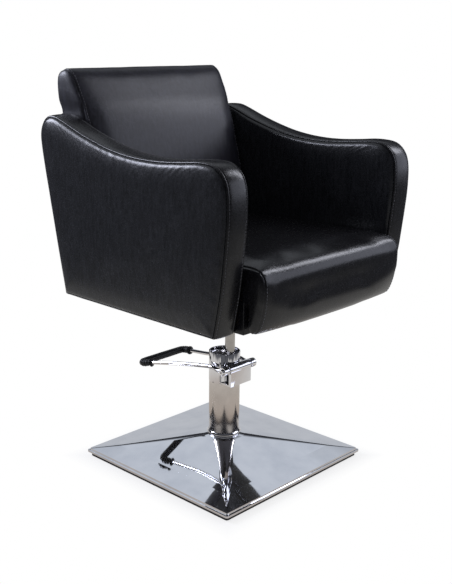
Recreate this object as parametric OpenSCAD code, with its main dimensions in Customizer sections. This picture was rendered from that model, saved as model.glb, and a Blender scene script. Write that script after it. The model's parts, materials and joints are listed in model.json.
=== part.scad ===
// Hairdressing chair: a padded tub chair on a foot-operated hydraulic pump with a square base.
// Millimetres, +Z up, origin on the floor under the middle of the pump tube. The chair faces -Y.
// It is drawn in its raised position, with the pedal at its upper stop.

/* [Base] */
// Width of the square base across the cover's flared rim
base_w = 500; // [440:5:540]
// Corner radius of the base
base_corner_r = 6; // [4:1:10]
// Thickness of the rubber mat under the base
mat_t = 3; // [2:0.5:5]
// How far the mat and the plate stand back from the rim
plate_inset = 7; // [5:1:10]
// Thickness of the steel plate
plate_t = 7; // [5:1:9]
// Height of the cover's fold edge above the floor
fold_h = 20; // [18:1:24]
// Drop of the cover's rim below the fold edge
rim_drop = 9.5; // [6:0.5:10]
// How far the rim flares out past the fold edge
rim_flare = 5; // [3:0.5:7]
// Rise of the cover from its fold edge to its round hole
cover_rise = 47; // [40:1:55]
// Sheet thickness of the cover
cover_t = 1.5; // [1:0.1:2]
// Radius of the cover's round hole
cover_hole_r = 41; // [40:0.5:42]
// Outer radius of the foot ring
ring_r = 43; // [42.5:0.5:46]
// Height of the foot ring
ring_h = 10; // [8:1:14]

/* [Pump] */
// Diameter of the pump tube
tube_d = 78; // [76:0.5:78]
// Wall of the pump tube
tube_wall = 3; // [2:0.5:3]
// Height of the pump's rim above the floor
pump_h = 287; // [280:1:300]
// Height of the pump head casting
head_h = 77; // [74:1:90]
// Diameter of the pump head
head_d = 79; // [78.5:0.5:80]
// Wall of the cup at the top of the head
cup_wall = 3; // [2:0.5:4]
// Depth of the cup down to its lid
cup_depth = 11.5; // [8:0.5:14]
// Thickness of the lid
lid_t = 3; // [2:0.5:4]
// Length of the head's spigot inside the tube
spigot_h = 14; // [8:1:20]
// Radius of the flange under the tube
flange_r = 75; // [70:1:85]
// Thickness of the flange
flange_t = 8; // [6:1:10]
// Radius of the flange's bolt circle
flange_bolt_circle_r = 60; // [56:1:62]

/* [Ram] */
// Diameter of the ram
ram_d = 25; // [24:0.5:26]
// How far the ram stands in front of the tube's axis
ram_offset = 18; // [17:0.5:18]
// How far the chair can sink from its raised position
sink = 125; // [80:5:125]
// Diameter of the ram's spigot in the hub
ram_spigot_d = 20; // [18:0.5:21]
// Length of the piston
piston_l = 20; // [16:1:24]
// Wall of the pressure cylinder
cylinder_wall = 3; // [2:0.5:3.5]
// Radial room between the ram and the cylinder
cylinder_room = 1; // [0.8:0.1:1.2]
// Wall of the bronze guide bush
bush_wall = 2.4; // [2:0.1:2.6]
// Radial width of the wiper seal
wiper_w = 5; // [4:0.5:6]
// Height of the wiper seal
wiper_h = 6; // [4:0.5:7]

/* [Pedal] */
// Height of the pedal shaft above the floor
shaft_z = 254; // [252:1:256]
// Distance from the tube's axis forward to the pedal shaft
shaft_y = 46; // [45.5:0.5:47]
// Diameter of the pedal shaft
shaft_d = 16; // [15:0.5:16]
// Length of the pedal shaft
shaft_l = 122; // [114:1:130]
// Width of the guard plate and the shaft bearing
guard_w = 73; // [68:1:74]
// Height of the guard plate
guard_h = 42; // [40:1:44]
// Thickness of the guard plate
guard_t = 7.6; // [6:0.2:8]
// Distance from the tube's axis forward to the guard plate's face
guard_y = 57; // [56:0.5:58]
// Wall of the shaft bearing
bearing_wall = 4; // [3:0.5:4]
// Width of the cam
cam_w = 12; // [10:1:14]
// Distance from the shaft back to the plunger
plunger_reach = 14; // [13.5:0.25:14.5]
// Distance of the plunger beside the middle plane
plunger_side = 20; // [19:0.5:21]
// Diameter of the plunger
plunger_d = 7; // [6:0.5:7]
// Diameter of the pedal's bar
bar_d = 10; // [9:0.5:11]
// Half of the pedal's width beside the pump
pedal_neck = 50; // [49:0.5:52]
// Half of the pedal's width at its crossbar
pedal_half = 77; // [70:1:84]
// Reach of the pedal from its shaft back to the crossbar
pedal_reach = 277; // [240:1:300]
// Drop of the crossbar below the shaft
pedal_drop = 38; // [30:1:44]
// Wall of the rubber sleeve
sleeve_wall = 4; // [3:0.5:5]
// Height of the sleeve's end lips above the sleeve
lip_h = 3; // [2:0.5:4]

/* [Seat] */
// Height of the underside of the seat above the floor
seat_z = 448; // [446:1:470]
// Height of the seat, from underside to the top of the cushion
seat_h = 156; // [150:1:170]
// Width of the seat between the arms
seat_w = 495; // [460:5:495]
// Depth of the seat, from the front roll to the back
seat_d = 532; // [520:2:540]
// Distance from the ram's axis back to the rear of the seat
seat_rear = 213; // [205:1:214]
// How much the cushion's top stands up in the middle
seat_crown = 5; // [2:1:8]
// Height of the timber frame
frame_h = 55; // [50:1:60]
// Thickness of the frame's rails
rail_t = 28; // [24:1:30]
// Thickness of the plywood deck
deck_t = 12; // [9:1:15]
// How much foam stands in front of the frame
front_foam = 50; // [45:1:56]
// Size of the hub plate
hub_plate_w = 190; // [180:5:200]
// Thickness of the hub plate
hub_plate_t = 6; // [5:0.5:8]
// Distance of the mount bolts from the hub's axis, each way
mount_half = 70; // [68:1:74]
// Height of the hub
hub_h = 26; // [20:1:26]
// Outer radius of the hub
hub_r = 24; // [20:1:28]

/* [Arms] */
// Depth of the arms, front to rear
arm_depth = 609; // [590:1:620]
// Height of the arms
arm_h = 420; // [410:1:430]
// Distance from the ram's axis forward to the arms' front
arm_front = 289; // [284:1:292]
// Width of an arm across its band
arm_w = 58.7; // [54:0.1:62]
// Room between the seat cushion and each inner pad
seat_room = 1; // [0.6:0.1:4]
// Thickness of the padded band
band_t = 12; // [10:0.5:14]
// How far the pads' outlines stand inside the band's
pad_margin = 9; // [8:0.5:10]
// Thickness of the outer pads
outer_pad_t = 9.5; // [7:0.5:12]
// Thickness of the inner pads
inner_pad_t = 9.5; // [7:0.5:9.5]
// Thickness of the plywood boards in the arms
arm_board_t = 6; // [5:1:9]
// Width of the timber of the arms' frames
arm_rail_w = 45; // [40:1:50]

/* [Back] */
// Height of the back above the underside of the seat
back_h = 519; // [500:1:530]
// How far each side of the back stands inside the seat's side
back_room = 2; // [2:0.5:8]
// How much each side of the back draws in towards its top
back_taper = 0; // [0:0.5:14]
// Depth of the back, front to rear
back_d = 135; // [130:1:140]
// How much the back's face stands out in the middle
back_crown = 4; // [2:1:6]
// How far the foot of the back's face stands forward over the seat
back_over = 45; // [35:1:50]
// Room between the crown of the seat and the back over it
back_over_room = 5; // [4:0.5:10]
// Height of the rear panel
back_panel_h = 425; // [410:1:430]
// Thickness of the rear panel's pad
back_panel_t = 8; // [6:0.5:9]
// Thickness of the back's plywood board
back_board_t = 20; // [18:1:22]
// How much foam stands beside the back's plywood board, each side
back_side_foam = 23; // [20:1:32]
// Lean of the back from upright, in degrees
back_lean = 12; // [11.5:0.1:12.5]

/* [Fasteners] */
// Diameter of the wood bolts
bolt_d = 8; // [6:0.5:9]
// Diameter of the flange bolts
flange_bolt_d = 12; // [10:1:14]
// Diameter of the washers
washer_d = 20; // [18:1:22]
// Thickness of the washers
washer_t = 2; // [1.5:0.1:2.5]
// Diameter of the grub screws
grub_d = 5; // [4:0.5:6]

/* [Hidden] */

// Clearances: running fits, seats of fixed pieces, soft pieces beside others, and the overrun of cuts
run_gap = 0.05;
seat_gap = 0.1;
soft_gap = 0.5;
over = 2;

// Facets of round pieces, of tubes swept along a path and of hull children
$fn = 64;
tube_sides = 12;

// Base
rim_half = base_w / 2;
fold_half = rim_half - rim_flare;
plate_half = rim_half - plate_inset;
cover_sides = 48;
corner_steps = cover_sides / 4;
cover_tip_share = 0.02;
cover_top_z = fold_h + cover_rise;
plate_top_z = mat_t + plate_t;
flange_top_z = plate_top_z + flange_t;

// Pump
tube_r = tube_d / 2;
tube_bore_r = tube_r - tube_wall;
head_r = head_d / 2;
head_z = pump_h - head_h;
cup_floor_z = pump_h - cup_depth;
ram_r = ram_d / 2;
cylinder_r = ram_r + cylinder_room;
cylinder_out_r = cylinder_r + cylinder_wall;
bush_r = ram_r + run_gap;
bush_out_r = bush_r + bush_wall;
spigot_z = head_z - spigot_h;
wiper_r = ram_r + run_gap;
rim_round = 1.2;

// Ram, from the piston up to the clip over the hub
piston_z = flange_top_z + sink + 8 * run_gap + piston_l / 2;
piston_r = cylinder_r - run_gap;
seal_h = 5;
seal_depth = 2.5;
rod_end_d = 14;
dust_t = 1.4;
dust_room = 0.6;
hub_plate_z = seat_z + dust_room - hub_plate_t;
hub_z = hub_plate_z - hub_h;
thrust_t = 2;
thrust_r = 17;
shoulder_z = hub_z - thrust_t - seat_gap;
ram_spigot_r = ram_spigot_d / 2;
clip_t = 1.2;
clip_depth = 1;
clip_w = 4;
clip_z = hub_plate_z + seat_gap;
ram_top_z = clip_z + clip_t + clip_depth;
ram_bevel = 1;

// Pedal and plunger
shaft_r = shaft_d / 2;
bearing_r = shaft_r + run_gap + bearing_wall;
guard_top_z = shaft_z;
guard_z = guard_top_z - guard_h;
guard_floor_t = 4;
guard_half = guard_w / 2;
eye_wall = 3.5;
eye_r = shaft_r + eye_wall;
eye_l = 15;
eye_gap = 5;
cam_r = shaft_r + 1.3;
cam_room = 0.6;
lobe_r = 3.5;
lobe_lift = 3;
plunger_y = shaft_y - plunger_reach;
plunger_r = plunger_d / 2;
boss_wall = 3.5;
boss_r = plunger_r + run_gap + boss_wall;
boss_h = 18;
boss_top_z = head_z + boss_h;
plunger_top_z = shaft_z - lobe_lift - lobe_r - 2 * seat_gap;
plunger_head_t = 3;
plunger_head_r = 6.5;
plunger_room = 0.7;
bore_floor_t = 2;
bore_floor_z = guard_z + bore_floor_t;
plunger_travel = 5;
plunger_low_z = bore_floor_z + plunger_travel + 10 * seat_gap;
spring_wire_r = 0.8;
spring_turns = 6;
spring_sides = 6;
spring_steps = 12;
socket_r = 2.7;
socket_depth = 5;
shaft_bevel = 1.5;
bar_r = bar_d / 2;
sleeve_bore_r = bar_r + seat_gap / 2;
sleeve_r = sleeve_bore_r + sleeve_wall;
sleeve_rib = 0.8;
sleeve_ribs = 4;

// Seat
frame_z = seat_z + dust_room + dust_t;
deck_z = frame_z + frame_h;
deck_top_z = deck_z + deck_t;
seat_half = seat_w / 2;
seat_rear_y = seat_rear - ram_offset;
seat_front_y = seat_rear_y - seat_d;
frame_half = seat_half - 3 * soft_gap;
frame_rear_y = seat_rear_y - soft_gap;
frame_front_y = seat_front_y + front_foam;
cross_rail_w = 34;
seat_side_draw = 9;
// Outline of the seat as shares of its depth from the rear and of its height from the underside
seat_outline_shares = [
    [0, 0.90], [0.012, 0.94], [0.12, 0.955], [0.35, 0.975], [0.62, 0.992], [0.85, 1.0], [0.945, 0.99],
    [0.983, 0.925], [1.0, 0.80], [0.998, 0.62], [0.986, 0.38], [0.962, 0.13], [0.936, 0],
];
// Stations across the seat as shares of its half width, each with the share of the side draw there
seat_station_shares = [[1, 1], [0.994, 0.45], [0.98, 0.12], [0.95, 0], [0.6, -0.25], [0.2, -0.55]];

// Arms
arm_lift = 3;
arm_z = seat_z + arm_lift;
arm_front_y = -ram_offset - arm_front;
arm_in_x = seat_half + seat_room + inner_pad_t;
arm_out_x = arm_in_x + arm_w;
band_crown = 1.5;
band_edge = 3;
arm_steps = 3;
arm_rear_corner = 3;
arm_front_corner = 15;
// Outline of an arm as shares of its depth from the front and of its height, up the rear edge,
// over the rear hump, forward along the armrest and down the front edge
arm_outline_shares = [
    [0.876, 0], [0.921, 0.295], [0.960, 0.557], [0.993, 0.795], [0.998, 0.907],
    [0.966, 0.981], [0.918, 1.0], [0.857, 0.979], [0.750, 0.924], [0.603, 0.867], [0.471, 0.840],
    [0.340, 0.836], [0.225, 0.848], [0.128, 0.860], [0.0575, 0.845], [0.0115, 0.776], [0, 0.652],
    [0.0066, 0.486], [0.028, 0.224], [0.059, 0],
];
// Height of an inner pad's lower edge, as a share of the arm's height
inner_pad_low_share = 0.11;
// Layers of a pad as shares of its thickness, each with its inset from the pad's outline
pad_inset = 24;
pad_layer_shares = [[0, 0], [0.45, 0.04], [0.75, 0.17], [0.9, 0.45], [0.97, 1]];
pad_middle_share = 0.5;

// Back
back_z = arm_z;
back_front_y = seat_rear_y + 4 * soft_gap;
back_low_half = seat_half - back_room;
back_top_half = back_low_half - back_taper;
back_side_draw = 8;
back_steps = 3;
// Outline of the back as shares of its depth from the front and of its height, up the rear first
back_outline_shares = [
    [0.296, 0], [0.60, 0.30], [0.948, 0.798], [1.0, 0.93], [0.965, 0.965], [0.87, 0.988], [0.74, 1.0],
    [0.62, 0.994], [0.50, 0.967], [0.39, 0.918], [0.289, 0.875], [0.148, 0.817], [0.015, 0.73],
    [-0.141, 0.586], [-0.252, 0.441],
];
// Rounding of the face's foot over the seat: its radius, and the height of its underside
back_foot_r = 14;
back_foot_z = seat_z + seat_h + seat_crown + back_over_room;
back_station_shares = [[1, 1], [0.994, 0.45], [0.98, 0.12], [0.95, 0], [0.6, -0.2], [0.2, -0.5]];
back_rear_y = back_front_y + back_outline_shares[0][0] * back_d;

// Fasteners
bolt_r = bolt_d / 2;
head_t = 5.5;
head_flats_r = 7.5;
// Bays between the seat frame's rails, front to rear, each with the place of an arm bolt as a share
// of the bay, and places of the back bolts as shares of the frame's half width
frame_bays = [
    [frame_front_y + rail_t, -ram_offset - mount_half - cross_rail_w / 2],
    [-ram_offset - mount_half + cross_rail_w / 2, -ram_offset + mount_half - cross_rail_w / 2],
    [-ram_offset + mount_half + cross_rail_w / 2, frame_rear_y - rail_t],
];
arm_bolt_bay_shares = [0.337, 0.87, 0.675];
back_bolt_width_shares = [-0.61, 0, 0.61];
arm_bolt_ys = [
    for (k = [0:2]) let (bay = frame_bays[k]) bay[0] + arm_bolt_bay_shares[k] * (bay[1] - bay[0])
];
arm_bolt_z = arm_z + band_t + arm_rail_w / 3;
arm_bolt_bite = arm_w * 2 / 3;
arm_bolt_l = washer_t + rail_t + arm_in_x - frame_half + arm_board_t + arm_bolt_bite;
back_bolt_xs = [for (s = back_bolt_width_shares) s * frame_half];
back_bolt_bite = 36;
back_bolt_l = washer_t + rail_t + back_bolt_bite;
mount_bolt_l = 40;
flange_bolt_l = 20;

function unit(v) = v / norm(v);
function leftward(v) = [-v[1], v[0]];

// Smooth curve through points, with a number of steps between neighbours
function spline_at(p, i, t) =
    let (a = p[max(i - 1, 0)], b = p[i], c = p[i + 1], d = p[min(i + 2, len(p) - 1)])
    (2 * b + (c - a) * t + (2 * a - 5 * b + 4 * c - d) * t * t + (3 * b - a - 3 * c + d) * t * t * t) / 2;
function spline(p, steps) =
    [for (i = [0 : len(p) - 2], k = [0 : steps - 1]) spline_at(p, i, k / steps), p[len(p) - 1]];

// Corner i of a closed outline, moved inwards by d with a mitre; the outline runs anticlockwise
function inset_point(o, i, d) =
    let (n = len(o), a = leftward(unit(o[i] - o[(i + n - 1) % n])), b = leftward(unit(o[(i + 1) % n] - o[i])))
    o[i] + d * (a + b) / (1 + a * b);
function inset(o, d) = [for (i = [0 : len(o) - 1]) inset_point(o, i, d)];
function middle(o) = [for (axis = [0 : len(o[0]) - 1]) [for (p = o) p[axis]] * [for (p = o) 1] / len(o)];

// Point where the way from a to b is at height share h
function at_height(a, b, h) = a + (b - a) * (h - a[1]) / (b[1] - a[1]);

// The arm's outline shares cut off level at height share h, which lies between the lowest points
function cut_shares(h) =
    let (s = arm_outline_shares, n = len(s), above = [for (p = s) if (p[1] > h) p], k = len(above))
    h == 0 ? s : concat([at_height(s[0], above[0], h)], above, [at_height(above[k - 1], s[n - 1], h)]);

// Outlines in the plane across the chair, as [y, z]
function arm_outline(low_share = 0) = spline(
    [for (s = cut_shares(low_share)) [arm_front_y + s[0] * arm_depth, arm_z + s[1] * arm_h]], arm_steps);
function seat_outline() = concat([[seat_rear_y, seat_z]], spline(
    [for (s = seat_outline_shares) [seat_rear_y - s[0] * seat_d, seat_z + s[1] * seat_h]], 2));
function back_outline() = concat(
    spline(
        concat(
            [for (s = back_outline_shares) [back_front_y + s[0] * back_d, back_z + s[1] * back_h]],
            [for (turn = [0, 45, 90]) [
                back_front_y - back_over + back_foot_r * (1 - cos(turn)),
                back_foot_z + back_foot_r * (1 - sin(turn))
            ]]
        ),
        back_steps
    ),
    [[back_front_y, back_foot_z], [back_front_y, back_z]]
);

// Faces between ring k and the next, as triangles
function band_faces(k, next, n) = [
    for (i = [0 : n - 1])
        each [
            [k * n + i, next * n + i, next * n + (i + 1) % n],
            [k * n + i, next * n + (i + 1) % n, k * n + (i + 1) % n],
        ]
];

// Closed solid through rings of points, each end closed by a fan to its middle
module skin(rings) {
    n = len(rings[0]);
    last = len(rings) - 1;
    first_mid = n * (last + 1);
    polyhedron(
        points = [each [for (r = rings) each r], middle(rings[0]), middle(rings[last])],
        faces = [
            for (k = [0 : last - 1]) each band_faces(k, k + 1, n),
            for (i = [0 : n - 1]) [first_mid, i, (i + 1) % n],
            for (i = [0 : n - 1]) [first_mid + 1, last * n + (i + 1) % n, last * n + i],
        ]
    );
}

// Closed solid through rings of points, with the last ring joined to the first
module loop_skin(rings) {
    n = len(rings[0]);
    polyhedron(
        points = [for (r = rings) each r],
        faces = [for (k = [0 : len(rings) - 1]) each band_faces(k, (k + 1) % len(rings), n)]
    );
}

// Ring of points of radius r round point i of a path that lies level enough for +Z to be sideways to it
function path_ring(path, i, r, sides) =
    let (
        ahead = unit(path[min(i + 1, len(path) - 1)] - path[max(i - 1, 0)]),
        side = unit(cross(ahead, [0, 0, 1])),
        up = cross(side, ahead)
    )
    [for (s = [0 : sides - 1]) path[i] + r * (cos(360 * s / sides) * side + sin(360 * s / sides) * up)];

module hex_bolt(shank_r, length, flats_r, cap_t) {
    cylinder(r = shank_r, h = length);
    translate([0, 0, -cap_t]) cylinder(r = flats_r, h = cap_t, $fn = 6);
}

// Rounded square slab
module square_slab(half, t, corner_r) {
    linear_extrude(t) {
        square([2 * half, 2 * (half - corner_r)], center = true);
        square([2 * (half - corner_r), 2 * half], center = true);
        for (x = [-1, 1], y = [-1, 1])
            translate([x * (half - corner_r), y * (half - corner_r)]) circle(corner_r);
    }
}

module at_ram(z) translate([0, -ram_offset, z]) children();

module at_flange_bolts() {
    for (a = [45 : 90 : 315]) rotate(a) translate([flange_bolt_circle_r, 0, 0]) children();
}

module base_mat() {
    color("#1b1b1d") square_slab(plate_half, mat_t, base_corner_r);
}

module base_plate() {
    color("#3a3a3c") translate([0, 0, mat_t]) difference() {
        square_slab(plate_half, plate_t, base_corner_r);
        at_flange_bolts() translate([0, 0, -over])
            cylinder(r = flange_bolt_d / 2 + run_gap, h = plate_t + 2 * over);
    }
}

// Ring of the cover's rounded square at half width h: each corner arc has as many points as a
// quarter of the round hole, so that the straight lines between the two make flat sides and cones
cover_angles = [for (q = [0 : 3], k = [0 : corner_steps]) [q, 90 * (q + k / corner_steps)]];
function cover_square(h, z) = [
    for (a = cover_angles)
        let (c = h - base_corner_r, turn = 45 + 90 * a[0])
        [
            c * sqrt(2) * cos(turn) + base_corner_r * cos(a[1]),
            c * sqrt(2) * sin(turn) + base_corner_r * sin(a[1]),
            z,
        ]
];
// Ring of the hole, each quarter of it drawn together a little so that each flat side keeps a tip
function cover_circle(r, z) = [
    for (a = cover_angles)
        let (turn = 45 + 90 * a[0], to = turn + (a[1] - turn) * (1 - cover_tip_share))
        [r * cos(to), r * sin(to), z]
];

// Square-to-round transition from the fold edge up to the round hole, with a flared rim
module base_cover() {
    color("#d9dce2") loop_skin([
        cover_square(rim_half, fold_h - rim_drop),
        cover_square(rim_half - cover_t, fold_h - rim_drop),
        cover_square(fold_half - cover_t, fold_h - cover_t),
        cover_circle(cover_hole_r, cover_top_z - cover_t),
        cover_circle(cover_hole_r, cover_top_z),
        cover_square(fold_half, fold_h),
    ]);
}

module tube_flange() {
    color("#4a4a4c") translate([0, 0, plate_top_z]) difference() {
        cylinder(r = flange_r, h = flange_t);
        at_flange_bolts() translate([0, 0, -over])
            cylinder(r = flange_bolt_d / 2 + run_gap, h = flange_t + 2 * over);
    }
}

module flange_bolts() {
    shank_r = flange_bolt_d / 2;
    color("#8a8d92") at_flange_bolts() translate([0, 0, flange_top_z]) mirror([0, 0, 1])
        hex_bolt(shank_r, min(flange_bolt_l, flange_t + plate_t), shank_r * 3 / 2, shank_r);
}

module foot_ring() {
    step = (ring_r - tube_r) / 2;
    color("#e2e4e8") translate([0, 0, cover_top_z + seat_gap]) rotate_extrude() polygon([
        [tube_r + run_gap, 0], [ring_r - step / 2, 0], [ring_r, step], [ring_r, ring_h / 2],
        [ring_r - step / 2, ring_h / 2 + step], [ring_r - step, ring_h - step / 2],
        [tube_r + step / 2, ring_h], [tube_r + run_gap, ring_h],
    ]);
}

module pump_tube() {
    color("#d2d3d6") translate([0, 0, flange_top_z]) difference() {
        cylinder(r = tube_r, h = head_z - flange_top_z);
        translate([0, 0, -over]) cylinder(r = tube_bore_r, h = head_z + over);
    }
}

module inner_cylinder() {
    color("#9a9da2") at_ram(flange_top_z) difference() {
        cylinder(r = cylinder_out_r, h = spigot_z - flange_top_z);
        translate([0, 0, -over]) cylinder(r = cylinder_r, h = head_z);
    }
}

// Head casting: cup, spigot, plunger boss, guard plate with its floor, and the shaft bearing
module pump_head() {
    cam_r_room = cam_r + cam_room;
    window_w = cam_w + 4 * cam_room;
    color("#e6e7ea") difference() {
        union() {
            translate([0, 0, head_z]) cylinder(r = head_r, h = head_h);
            translate([0, 0, spigot_z]) cylinder(r = tube_bore_r - seat_gap, h = spigot_h + over);
            translate([-guard_half, -guard_y, guard_z]) cube([guard_w, guard_t, guard_h]);
            translate([-guard_half, -guard_y, guard_z]) cube([guard_w, guard_y - ram_offset, guard_floor_t]);
            at_plunger(guard_z) cylinder(r = boss_r, h = boss_top_z - guard_z);
            across_shaft(-guard_half) cylinder(r = bearing_r, h = guard_w);
        }
        translate([0, 0, cup_floor_z - lid_t]) cylinder(r = head_r - cup_wall, h = cup_depth + lid_t + over);
        at_ram(spigot_z - over) cylinder(r = bush_out_r + seat_gap / 2, h = head_h + spigot_h);
        at_plunger(bore_floor_z) cylinder(r = plunger_r + run_gap, h = guard_h);
        at_plunger(boss_top_z) cylinder(r = plunger_head_r + plunger_room, h = shaft_z - boss_top_z);
        across_shaft(-guard_half - over) cylinder(r = shaft_r + run_gap, h = guard_w + 2 * over);
        across_shaft(plunger_side - window_w / 2) cylinder(r = cam_r_room, h = window_w);
        translate([plunger_side - window_w / 2, -shaft_y, boss_top_z])
            cube([window_w, plunger_reach + lobe_r + cam_room, shaft_z + cam_r_room - boss_top_z]);
    }
}

module at_plunger(z) translate([plunger_side, -plunger_y, z]) children();

// Along the pedal shaft's axis, from x towards +X
module across_shaft(x) translate([x, -shaft_y, shaft_z]) rotate([0, 90, 0]) children();

module guide_bush() {
    color("#b08d4a") at_ram(spigot_z + seat_gap) difference() {
        cylinder(r = bush_out_r, h = cup_floor_z - lid_t - spigot_z - 2 * seat_gap);
        translate([0, 0, -over]) cylinder(r = bush_r, h = head_h + spigot_h);
    }
}

module head_lid() {
    color("#cfd1d4") translate([0, 0, cup_floor_z - lid_t]) difference() {
        cylinder(r = head_r - cup_wall - run_gap, h = lid_t);
        translate([0, -ram_offset, -over]) cylinder(r = ram_r + 2 * run_gap, h = lid_t + 2 * over);
    }
}

module wiper_seal() {
    bevel = wiper_w / 3;
    color("#141415") at_ram(cup_floor_z) rotate_extrude() polygon([
        [wiper_r, 0], [wiper_r + wiper_w, 0], [wiper_r + wiper_w, wiper_h - bevel],
        [wiper_r + wiper_w - bevel, wiper_h], [wiper_r, wiper_h],
    ]);
}

module ram_rod() {
    color("#b9bbbf") at_ram(0) difference() {
        union() {
            translate([0, 0, piston_z]) cylinder(r = rod_end_d / 2, h = piston_l);
            translate([0, 0, piston_z + piston_l]) cylinder(r = ram_r, h = shoulder_z - piston_z - piston_l);
            translate([0, 0, shoulder_z]) cylinder(r = ram_spigot_r, h = ram_top_z - shoulder_z - ram_bevel);
            translate([0, 0, ram_top_z - ram_bevel])
                cylinder(r1 = ram_spigot_r, r2 = ram_spigot_r - ram_bevel, h = ram_bevel);
        }
        translate([0, 0, clip_z - run_gap]) difference() {
            cylinder(r = ram_r, h = clip_t + 2 * run_gap);
            translate([0, 0, -over]) cylinder(r = ram_spigot_r - clip_depth, h = clip_t + 2 * over);
        }
    }
}

module ram_piston() {
    color("#8f9297") at_ram(piston_z) difference() {
        cylinder(r = piston_r, h = piston_l - seat_gap);
        translate([0, 0, -over]) cylinder(r = rod_end_d / 2 + run_gap, h = piston_l + 2 * over);
        translate([0, 0, (piston_l - seal_h) / 2]) difference() {
            cylinder(r = cylinder_r, h = seal_h);
            translate([0, 0, -over]) cylinder(r = piston_r - seal_depth, h = seal_h + 2 * over);
        }
    }
}

module piston_seal() {
    color("#2a4a66") at_ram(piston_z + (piston_l - seal_h) / 2 + run_gap) difference() {
        cylinder(r = cylinder_r - run_gap / 2, h = seal_h - 2 * run_gap);
        translate([0, 0, -over]) cylinder(r = piston_r - seal_depth + run_gap, h = seal_h + 2 * over);
    }
}

module thrust_washer() {
    color("#b08d4a") at_ram(shoulder_z) difference() {
        cylinder(r = thrust_r, h = thrust_t);
        translate([0, 0, -over]) cylinder(r = ram_spigot_r + run_gap, h = thrust_t + 2 * over);
    }
}

module swivel_clip() {
    color("#55585c") at_ram(clip_z) difference() {
        cylinder(r = ram_spigot_r - clip_depth + clip_w, h = clip_t);
        translate([0, 0, -over]) cylinder(r = ram_spigot_r - clip_depth + run_gap, h = clip_t + 2 * over);
        translate([0, -clip_depth, -over]) cube([2 * hub_r, 2 * clip_depth, clip_t + 2 * over]);
    }
}

module lever_shaft() {
    half = shaft_l / 2;
    color("#dcdde0") across_shaft(0) difference() {
        rotate_extrude() polygon([
            [0, -half], [shaft_r - shaft_bevel, -half], [shaft_r, shaft_bevel - half],
            [shaft_r, half - shaft_bevel], [shaft_r - shaft_bevel, half], [0, half],
        ]);
        for (s = [0, 1]) mirror([0, 0, s]) translate([0, 0, half - socket_depth])
            cylinder(r = socket_r, h = socket_depth + over, $fn = 6);
    }
}

// Collar round the shaft with a lobe behind and below it, over the plunger
module lever_cam() {
    color("#77797d") translate([plunger_side - cam_w / 2, -shaft_y, shaft_z]) rotate([90, 0, 90]) difference() {
        linear_extrude(cam_w) {
            circle(cam_r);
            translate([plunger_reach, -lobe_lift]) circle(lobe_r);
            polygon([
                [0, cam_r], [plunger_reach + lobe_r, -lobe_lift],
                [plunger_reach, -lobe_lift - lobe_r], [0, 0],
            ]);
        }
        translate([0, 0, -over]) cylinder(r = shaft_r + run_gap, h = cam_w + 2 * over);
    }
}

// Half of the pedal's route from an eye to the middle of the crossbar, as shares of the way from the
// neck's half width to the crossbar's, of the reach, and of the drop
pedal_route_shares = [
    [0, 0, 0], [0, 0.05, 0.01], [0, 0.12, -0.06], [0, 0.27, 0.10], [0.18, 0.56, 0.46],
    [0.72, 0.865, 0.84], [0.95, 0.94, 0.95], [0.90, 0.985, 1.0], [0.55, 1.0, 1.0],
];
pedal_half_route = [
    for (s = pedal_route_shares)
        [
            pedal_neck + s[0] * (pedal_half - pedal_neck),
            eye_r + seat_gap + s[1] * (pedal_reach - eye_r) - shaft_y,
            shaft_z - s[2] * pedal_drop,
        ]
];
pedal_mid = [[pedal_neck / 2, pedal_reach - shaft_y, shaft_z - pedal_drop]];
pedal_far_route = concat(
    [for (p = concat(pedal_half_route, pedal_mid)) [-p[0], p[1], p[2]]],
    [for (i = [len(pedal_half_route) : -1 : 0]) concat(pedal_half_route, pedal_mid)[i]]
);
pedal_steps = 3;
pedal_path = spline(pedal_far_route, pedal_steps);
sleeve_from = 5 * pedal_steps;
sleeve_to = len(pedal_path) - 1 - sleeve_from;

// One bent bar, its ends butting on the clamp eyes
module pedal_bar() {
    color("#dfe0e3") skin([for (i = [0 : len(pedal_path) - 1]) path_ring(pedal_path, i, bar_r, tube_sides)]);
}

module pedal_eyes() {
    color("#cfd1d4") difference() {
        for (s = [0, 1]) mirror([s, 0, 0]) across_shaft(guard_half + eye_gap) cylinder(r = eye_r, h = eye_l);
        across_shaft(-shaft_l) cylinder(r = shaft_r + run_gap / 2, h = 2 * shaft_l);
        at_eye_screws() cylinder(r = grub_d / 2 + run_gap / 2, h = eye_r + over);
    }
}

module at_eye_screws() {
    for (s = [-1, 1]) translate([s * (guard_half + eye_gap + eye_l / 2), -shaft_y, shaft_z])
        rotate([135, 0, 0]) children();
}

module eye_screws() {
    color("#2d2e30") at_eye_screws() translate([0, 0, shaft_r + run_gap]) difference() {
        cylinder(r = grub_d / 2, h = eye_wall - 2 * run_gap);
        translate([0, 0, eye_wall / 2]) cylinder(r = grub_d / 4, h = eye_wall, $fn = 6);
    }
}

// Rubber tube on the crossbar and its corners, with a lip at each end and ribs on the corners
function sleeve_radius(i) =
    let (from_end = min(i - sleeve_from, sleeve_to - i))
    from_end == 0 ? sleeve_r + lip_h : from_end <= 2 ? sleeve_r - sleeve_wall / 2
    : sleeve_r + (from_end <= 2 + 2 * sleeve_ribs && from_end % 2 == 1 ? sleeve_rib : 0);
module pedal_sleeve() {
    color("#161617") loop_skin(concat(
        [for (i = [sleeve_from : sleeve_to]) path_ring(pedal_path, i, sleeve_radius(i), tube_sides)],
        [for (i = [sleeve_to : -1 : sleeve_from]) path_ring(pedal_path, i, sleeve_bore_r, tube_sides)]
    ));
}

module plunger() {
    color("#b4b6ba") {
        at_plunger(plunger_low_z)
            cylinder(r = plunger_r, h = plunger_top_z - plunger_low_z - plunger_head_t / 2);
        at_plunger(plunger_top_z - plunger_head_t) cylinder(r = plunger_head_r, h = plunger_head_t);
    }
}

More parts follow.
